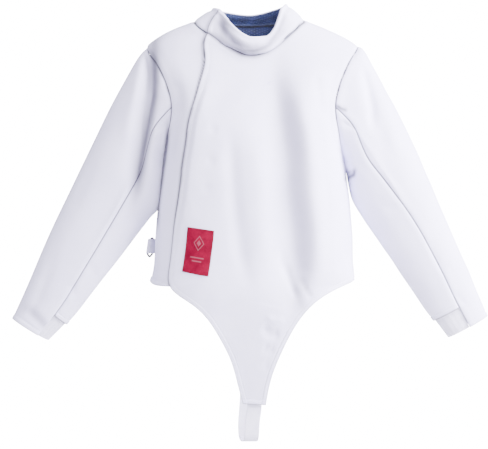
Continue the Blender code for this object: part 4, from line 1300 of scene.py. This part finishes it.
def label_material():
    """Crimson satin label, with a plain lozenge and two bars in paler thread."""
    graph = Graph("label_satin")
    place, u, v = graph.place()
    aside = graph.calc("ABSOLUTE", u)
    up = graph.calc("ABSOLUTE", graph.plus(v, LOZENGE_HEIGHT))
    lozenge = graph.plus(graph.times(aside, LOZENGE_SLOPE), up)
    marks = graph.calc("MAXIMUM", between_lines(graph, lozenge, *LOZENGE_RING),
                       between_lines(graph, lozenge, -1.0, LOZENGE_HEART))
    for height, half_width in BARS:
        low, high = -height - BAR_HALF_HEIGHT, -height + BAR_HALF_HEIGHT
        bar = graph.times(between_lines(graph, v, low, high),
                          between_lines(graph, aside, -1.0, half_width))
        marks = graph.calc("MAXIMUM", marks, bar)
    threads = graph.times(graph.wave(u, 0.0005), graph.wave(v, 0.0009))
    colour = graph.blend(graph.fit(graph.noise(place, 50.0, 3.0), 0.35, 0.65), LABEL_CRIMSON,
                         LABEL_DEEP)
    colour = graph.blend(graph.times(marks, 0.7), colour, LABEL_THREAD)
    # Painted shade along the label's edges
    colour = graph.blend(graph.times(graph.marked("edge"), 0.5), colour, LABEL_DEEP)
    height = graph.plus(graph.times(threads, 0.15), marks)
    roughness = graph.fit(graph.noise(place, 150.0), 0.3, 0.7, 0.45, 0.60)
    return graph.finish(colour, roughness, graph.bump(height, 0.0002), Specular_IOR_Level=0.06)


def thread_material(name, colour, shade):
    graph = Graph(name)
    noise = graph.noise(graph.object_place(), 900.0, 2.0)
    tint = graph.blend(graph.fit(noise, 0.35, 0.65), colour, shade)
    return graph.finish(tint, graph.fit(noise, 0.3, 0.7, 0.45, 0.65), graph.bump(noise, 0.0001))


def ring_material():
    """Dark steel wire, rubbed a little brighter in places."""
    graph = Graph("ring_steel")
    place = graph.object_place()
    scratches = graph.noise(place, 2200.0, 2.0)
    colour = graph.blend(graph.fit(graph.noise(place, 160.0, 3.0), 0.4, 0.62), RING_DARK, RING_BRIGHT)
    roughness = graph.fit(scratches, 0.3, 0.7, 0.24, 0.44)
    return graph.finish(colour, roughness, graph.bump(scratches, 0.00005), Metallic=0.6,
                        Specular_IOR_Level=0.3)


def mark(piece, name, values):
    """Mark the points of a piece with values from 0 to 1, for its material."""
    attribute = piece.data.attributes.new(name, "FLOAT", "POINT")
    attribute.data.foreach_set("value", clamp(values).astype(np.float32).ravel())


def add_painted_edge_shade(piece, points, lines):
    """Mark where shade is painted along a piece's edges: 1 at some lines, fading away from them over
    the width of each.
    """
    closeness = np.zeros(points.shape[:2])
    for line, width in lines:
        closeness = np.maximum(closeness, bell(line_distance(points, line) / width))
    mark(piece, "edge", closeness)


class Shape:
    """One piece of cloth: its plain grid, its grid with creases and edges, its sewn edges, and the
    lines along which shade is painted, each with its width."""

    def __init__(self, plain, faces, seams, hems=(), dark=()):
        self.plain = plain
        self.sewn = np.zeros(plain.shape[:2], bool)
        for part in seams:
            self.sewn[part] = True
        widths = [(part, EDGE_SHADE_WIDTH) for part in seams]
        widths += [(part, HEM_SHADE_WIDTH["panel"]) for part in hems]
        self.edges = [(plain[part], width) for part, width in (*widths, *dark)]
        seams, hems = [[plain[part] for part in parts] for parts in (seams, hems)]
        self.points = dressed(plain, faces, seams, hems)


def tree_of(points):
    tree = KDTree(len(points))
    for index, point in enumerate(points):
        tree.insert(point, index)
    tree.balance()
    return tree


def sew(shapes):
    """Bring edges that are sewn together back onto one line, and ease the cloth beside them."""
    lines = []
    for shape in shapes:
        plain = shape.plain[shape.sewn]
        lines.append((tree_of(plain), plain, shape.points[shape.sewn] - plain))
    for k, shape in enumerate(shapes):
        tree, plain, shift = lines[k]
        change = np.zeros(shift.shape)
        for index, place in enumerate(plain):
            others = [shift[index]]
            for m, (other_tree, _, other_shift) in enumerate(lines):
                _, near, away = other_tree.find(place)
                if m != k and away < SEW_REACH:
                    others.append(other_shift[near])
            change[index] = np.mean(others, axis=0) - shift[index]
        for index in np.ndindex(shape.plain.shape[:2]):
            _, near, away = tree.find(shape.plain[index])
            if away < SEW_FADE:
                shape.points[index] += change[near] * float(1 - smooth(away / SEW_FADE))


def resampled(line, step):
    """A line of points at even steps."""
    length = lengths_along(line)[-1]
    return places_along(line, np.linspace(0, length, max(int(length / step), 2) + 1))


def sewn_lines(points, edges, distances):
    """Lines of stitching beside some edges of a grid."""
    lines = []
    for edge in edges:
        for distance in distances:
            beside = line_beside(points, resampled(edge, 2 * STITCH_LINE_STEP), distance)
            lines.append(resampled(beside[1:-1], STITCH_LINE_STEP))
    return lines


# Parts of a grid: its first and last row and column, and below and above the hem in the front
FRONT_ROWS = fine_places(BODY_ROWS + len(GROIN_POINT), BODY_PARTS)
HEM_ROW = int(np.searchsorted(FRONT_ROWS, BODY_ROWS))
TOP, BOTTOM = np.s_[0, :], np.s_[-1, :]
LEFT, RIGHT = np.s_[:, 0], np.s_[:, -1]
FLAP_EDGE, SIDE_SEAM = np.s_[:HEM_ROW + 1, 0], np.s_[:HEM_ROW + 1, -1]
POINT_EDGE = np.s_[HEM_ROW:, -1]

# Topstitched pieces: each one's name, its stitched edges, how far in the lines lie, and what it
# is sewn to
STITCHED = (
    ("front_panel", (LEFT, POINT_EDGE), (HEM_WIDTH,), "side_front_panel"),
    ("side_front_panel", (BOTTOM,), (HEM_WIDTH,), "back_panel"),
    ("back_panel", (BOTTOM,), (HEM_WIDTH,), "front_panel"),
    ("left_sleeve_upper", (BOTTOM,), CUFF_STITCH_LINES, "back_panel"),
    ("left_sleeve_under", (BOTTOM,), CUFF_STITCH_LINES, "back_panel"),
    ("right_sleeve_upper", (BOTTOM,), CUFF_STITCH_LINES, "back_panel"),
    ("right_sleeve_under", (BOTTOM,), CUFF_STITCH_LINES, "back_panel"),
    ("collar", (LEFT, TOP), (COLLAR_STITCH,), "back_panel"),
)


def body_shapes():
    """The three panels of the body."""
    front = Shape(flatter(eased(front_grid()), RIGHT), [(FRONT, FRONT_CREASES)], [TOP, SIDE_SEAM],
                  [LEFT, POINT_EDGE, BOTTOM], [(TOP, NECK_SHADE_WIDTH), (FLAP_EDGE, FLAP_SHADE_WIDTH)])
    side_front = Shape(flatter(eased(side_front_grid()), LEFT), [(FRONT, SIDE_FRONT_CREASES)],
                       [TOP, LEFT], [BOTTOM])
    back = Shape(eased(back_grid()), [(BACK, BACK_CREASES)], [TOP, LEFT, RIGHT], [BOTTOM])
    # Painted shadow of the flap on the side front, along the line under the flap's edge
    below = surface_of(side_front.plain)
    flap = [below.find_nearest(point)[0] for point in front.plain[FLAP_EDGE]]
    side_front.edges.append((np.array(flap), LAP_SHADE_WIDTH))
    return {"front_panel": front, "side_front_panel": side_front, "back_panel": back}


def sleeve_shapes():
    """Upper and under sleeve of both sides."""
    shapes = {}
    for name, side, sections, folds, *faces in SLEEVES:
        for part in ("upper", "under"):
            grid = sleeve_grid(sections, folds, side, part == "under")
            shape = Shape(grid, zip((FRONT, BACK), faces), [TOP, LEFT, RIGHT], [BOTTOM])
            widths = ((TOP, EDGE_SHADE_WIDTH), (LEFT, SLEEVE_SHADE_WIDTH[name]),
                      (RIGHT, SLEEVE_SHADE_WIDTH[name]), (BOTTOM, HEM_SHADE_WIDTH[part]))
            shape.edges = [(grid[edge], width) for edge, width in widths]
            shapes[f"{name}_sleeve_{part}"] = shape
    return shapes


def collar_shape():
    shape = Shape(collar_grid(), [(FRONT, COLLAR_CREASES)], [BOTTOM], [LEFT, RIGHT],
                  [(BOTTOM, NECK_SHADE_WIDTH), (LEFT, FLAP_SHADE_WIDTH)])
    away = line_distance(shape.plain, shape.plain[0])
    roll = RIM_ROLL * bell((away - RIM_ROLL_PLACE) / RIM_ROLL_WIDTH)
    roll = roll - RIM_GROOVE * bell((away - RIM_GROOVE_PLACE) / RIM_GROOVE_WIDTH)
    shape.points = shape.points + outward(shape.plain) * roll[..., None]
    return shape


def add_white_pieces(shapes, cloth, thread):
    """Panels, sleeves and collar, with the edges that are topstitched."""
    for name, edges, distances, on in STITCHED:
        shape = shapes[name]
        piece = add_cloth(name + "_cloth", shape.points, WALL, name, cloth,
                          plain=shape.plain)
        # Painted shade along the piece's seams and hems, and in its deepest folds
        add_painted_edge_shade(piece, shape.plain, shape.edges)
        mark(piece, "fold", crease_depth(shape.plain, FRONT, PAINTED_FOLD_SHADES))
        lines = sewn_lines(shape.points, [shape.points[part] for part in edges], distances)
        extra = add_stitching(name + "_stitches", lines, thread)


def add_inserts(elastic):
    for name, side, sections, folds, *_ in SLEEVES:
        grid = insert_grid(sections, folds, side)
        node = f"{name}_cuff_insert"
        piece = add_cloth(node + "_cloth", grid, WEBBING_WALL, node, elastic)
        add_painted_edge_shade(piece, grid, [(grid[0], EDGE_SHADE_WIDTH)])


def add_lining(name, inside, edge, lining):
    """A piece of lining, with painted shade along one edge."""
    piece = add_cloth(name + "_cloth", inside, LINING_WALL, name, lining)
    add_painted_edge_shade(piece, inside, [(inside[edge], EDGE_SHADE_WIDTH)])


def add_linings(collar, back, lining):
    """Inside of the collar and top of the back, from the points of both, moved in."""
    share = fine_places(1, COLLAR_PARTS)[::-1]
    turn, _ = collar_places()
    start = mix(NECK_FLAP_TURN, 90.0, LAP_COLUMNS / FRONT_COLUMNS)
    inside = moved(collar, -(WALL + LAYER_GAP))[share <= COLLAR_LINING_HIGH][:, turn >= start]
    tuck = inside[-1:] + unit(inside[-1:] - inside[-5:-4]) * LINING_TUCK
    add_lining("collar_lining", np.concatenate([inside, tuck]), -1, lining)
    rows = fine_places(BODY_ROWS, BODY_PARTS)
    columns = fine_places(BACK_COLUMNS, COLUMN_PARTS)
    wide = (columns >= NECK_LINING_MARGIN) & (columns <= BACK_COLUMNS - NECK_LINING_MARGIN)
    inside = moved(back, -(WALL + LAYER_GAP))[rows <= NECK_LINING_ROWS][:, wide]
    add_lining("back_neck_lining", inside, 0, lining)


def laid_on(surface, points, lift):
    """Points moved onto a surface, and out from it."""
    result = np.empty_like(points)
    for index in np.ndindex(points.shape[:-1]):
        place, normal, _, _ = surface.find_nearest(Vector(points[index]))
        result[index] = place + normal * lift
    return result


def add_label(front, material, thread):
    """The label, laid on the front panel, with a row of stitches all round."""
    down = np.linspace(0, 1, LABEL_ROWS + 1)[:, None, None]
    aside = np.linspace(0, 1, LABEL_COLUMNS + 1)[None, :, None]
    upper_right, upper_left, lower_right, lower_left = np.array(LABEL_CORNERS)
    places = mix(mix(upper_right, upper_left, aside), mix(lower_right, lower_left, aside), down)
    turn, height = places[..., 0], places[..., 1]
    points = body_points(turn, height, front_lift(turn, height))
    points = laid_on(surface_of(front), points, LAYER_GAP + LABEL_WALL)
    piece = add_cloth("label_cloth", points, LABEL_WALL, "label", material)
    edges = [points[part] for part in (TOP, BOTTOM, LEFT, RIGHT)]
    add_painted_edge_shade(piece, points, [(edge, EDGE_SHADE_WIDTH) for edge in edges])
    lines = sewn_lines(points, edges, (LABEL_STITCH,))
    extra = add_stitching("label_stitches", lines, thread)


def strap_points():
    """The crotch strap as a flat band that follows its middle line."""
    inset = WALL + WEBBING_WALL / 2
    ends = []
    for turn, heights, gap in STRAP_ENDS:
        height = np.array(heights)
        ends.append(body_points(0 * height + turn, height, -inset - gap + 0 * height))
    line = np.concatenate([ends[0], STRAP, ends[1]])
    last = len(line) - 1
    middle = through(line, np.linspace(0, last, last * STRAP_ROWS_PER_STEP + 1))
    across = np.linspace(-0.5, 0.5, STRAP_COLUMNS + 1)[None, :, None]
    return middle[:, None] + across * np.array((STRAP_WIDTH, 0.0, 0.0))


def ring_axes():
    """The ring's direction towards the body, the one aside from it, and its leaning upright."""
    heading = math.radians(RING_HEADING)
    inwards = np.array((math.cos(heading), math.sin(heading), 0.0))
    aside = np.array((-math.sin(heading), math.cos(heading), 0.0))
    upright = np.array((math.tan(math.radians(TAB_TILT)), 0.0, 1.0))
    return inwards, aside, upright


def tab_points(back):
    """Webbing sewn on the back panel, which leaves it, folds round the ring and comes back."""
    inwards, aside, upright = ring_axes()
    surface = surface_of(back)
    turns = np.array(TAB_ROOT_TURNS)
    grid = []
    for rise in np.linspace(0.5, -0.5, TAB_ROWS + 1) * TAB_HEIGHT:
        root = body_points(turns, RING_CENTRE[2] + rise + 0 * turns)
        root = laid_on(surface, root, LAYER_GAP + WEBBING_WALL / 2)
        loop = [RING_CENTRE + inwards * place.along + aside * place.aside + upright * rise
                for place in TAB_LOOP]
        line = np.concatenate([root, loop])
        last = len(line) - 1
        grid.append(through(line, np.linspace(0, last, last * TAB_PARTS + 1)))
    return np.array(grid)


def add_strap_and_tab(back, elastic):
    strap = add_cloth("crotch_strap_webbing", strap_points(), WEBBING_WALL, "crotch_strap",
                      elastic, 0.0)
    tab = add_cloth("side_tab_webbing", tab_points(back), WEBBING_WALL, "side_tab",
                    elastic, 0.0)


def rounded_outline(corners):
    """A closed line of places through straight sides and rounded corners."""
    result = []
    for k, corner in enumerate(corners):
        start = corner + unit(corners[k - 1] - corner) * RING_ROUNDING
        end = corner + unit(corners[(k + 1) % len(corners)] - corner) * RING_ROUNDING
        for t in np.linspace(0, 1, RING_CORNER_PARTS + 1):
            result.append((1 - t) ** 2 * start + 2 * t * (1 - t) * corner + t ** 2 * end)
    return np.array(result)


def add_ring(material):
    """Wire ring with pointed ends, standing upright inside the folded tab."""
    inwards, aside, upright = ring_axes()
    side, end, bar = RING_HALF_WIDTH, RING_HALF_HEIGHT, RING_BAR_HALF_HEIGHT
    corners = [(0, end), (side, bar), (side, -bar), (0, -end), (-side, -bar), (-side, bar)]
    outline = rounded_outline(np.array(corners))
    centre = RING_CENTRE - RING_DROP * upright
    line = centre + outline[:, :1] * inwards + outline[:, 1:] * upright
    tangent = unit(np.roll(line, -1, axis=0) - np.roll(line, 1, axis=0))
    other = unit(np.cross(tangent, aside))[:, None]
    angle = (np.arange(RING_SIDES) * 2 * np.pi / RING_SIDES)[None, :, None]
    tube = line[:, None] + RING_WIRE * (np.cos(angle) * aside + np.sin(angle) * other)
    index = np.arange(len(line) * RING_SIDES).reshape(len(line), RING_SIDES)
    later = np.roll(index, -1, axis=0)
    faces = np.stack([index, later, np.roll(later, -1, axis=1), np.roll(index, -1, axis=1)], -1)
    mesh = new_mesh("side_ring_wire", tube, faces.reshape(-1, 4).tolist())
    add_piece("side_ring_wire", mesh, "side_ring", material)


def add_camera():
    camera = add_object("camera", bpy.data.cameras.new("camera"))
    camera.data.sensor_width = CAMERA_SENSOR
    camera.data.lens = CAMERA_LENS
    camera.location = CAMERA_PLACE
    camera.rotation_euler = (math.pi / 2, 0.0, 0.0)
    bpy.context.scene.camera = camera


def add_lamp(name, turn, height, distance, size, power):
    """A square soft lamp that faces the jacket."""
    lamp = add_object(name, bpy.data.lights.new(name, "AREA"))
    lamp.data.size = size
    lamp.data.energy = power
    turn, height = math.radians(turn), math.radians(height)
    flat = math.cos(height)
    way = Vector((math.sin(turn) * flat, -math.cos(turn) * flat, math.sin(height)))
    lamp.location = Vector(LAMP_TARGET) + way * distance
    lamp.rotation_euler = (-way).to_track_quat("-Z", "Y").to_euler()


def add_world():
    """White world that lights gently, and is brighter where it is seen."""
    world = bpy.data.worlds.new("studio")
    bpy.context.scene.world = world
    world.use_nodes = True
    nodes, links = world.node_tree.nodes, world.node_tree.links
    background = nodes["Background"]
    background.inputs["Color"].default_value = WORLD_COLOUR
    seen = nodes.new("ShaderNodeLightPath")
    strength = nodes.new("ShaderNodeMix")
    strength.inputs["A"].default_value = WORLD_LIGHT
    strength.inputs["B"].default_value = WORLD_SEEN
    links.new(seen.outputs["Is Camera Ray"], strength.inputs["Factor"])
    links.new(strength.outputs["Result"], background.inputs["Strength"])


def add_floor():
    """Pale floor below the view."""
    corners = np.array([(-1, -1, 0), (1, -1, 0), (1, 1, 0), (-1, 1, 0)]) * FLOOR_SIZE / 2
    floor = add_object("floor", new_mesh("floor", corners, [(0, 1, 2, 3)]))
    floor.location = (0.0, 0.0, FLOOR_HEIGHT)
    graph = Graph("floor_paint")
    noise = graph.noise(graph.object_place(), 3.0, 2.0)
    colour = graph.blend(graph.fit(noise, 0.3, 0.7), FLOOR_PALE, FLOOR_WHITE)
    graph.put(graph.shader, {"Base Color": colour, "Roughness": 0.8})
    floor.data.materials.append(graph.material)


def remove_defaults():
    for name in ("Cube", "Light", "Camera"):
        if name in bpy.data.objects:
            bpy.data.objects.remove(bpy.data.objects[name])


def main():
    remove_defaults()
    add_camera()
    add_world()
    add_floor()
    for lamp in LAMPS:
        add_lamp(*lamp)
    cloth = cloth_material()
    elastic = elastic_material()
    lining = lining_material()
    thread = thread_material("sewing_thread", THREAD_WHITE, THREAD_SHADE)
    red_thread = thread_material("label_thread", LABEL_DEEP, LABEL_CRIMSON)
    shapes = body_shapes() | sleeve_shapes() | {"collar": collar_shape()}
    sew(list(shapes.values()))
    front, back = shapes["front_panel"].points, shapes["back_panel"].points
    add_white_pieces(shapes, cloth, thread)
    add_inserts(elastic)
    add_linings(shapes["collar"].points, back, lining)
    add_label(front, label_material(), red_thread)
    add_strap_and_tab(back, elastic)
    add_ring(ring_material())


main()
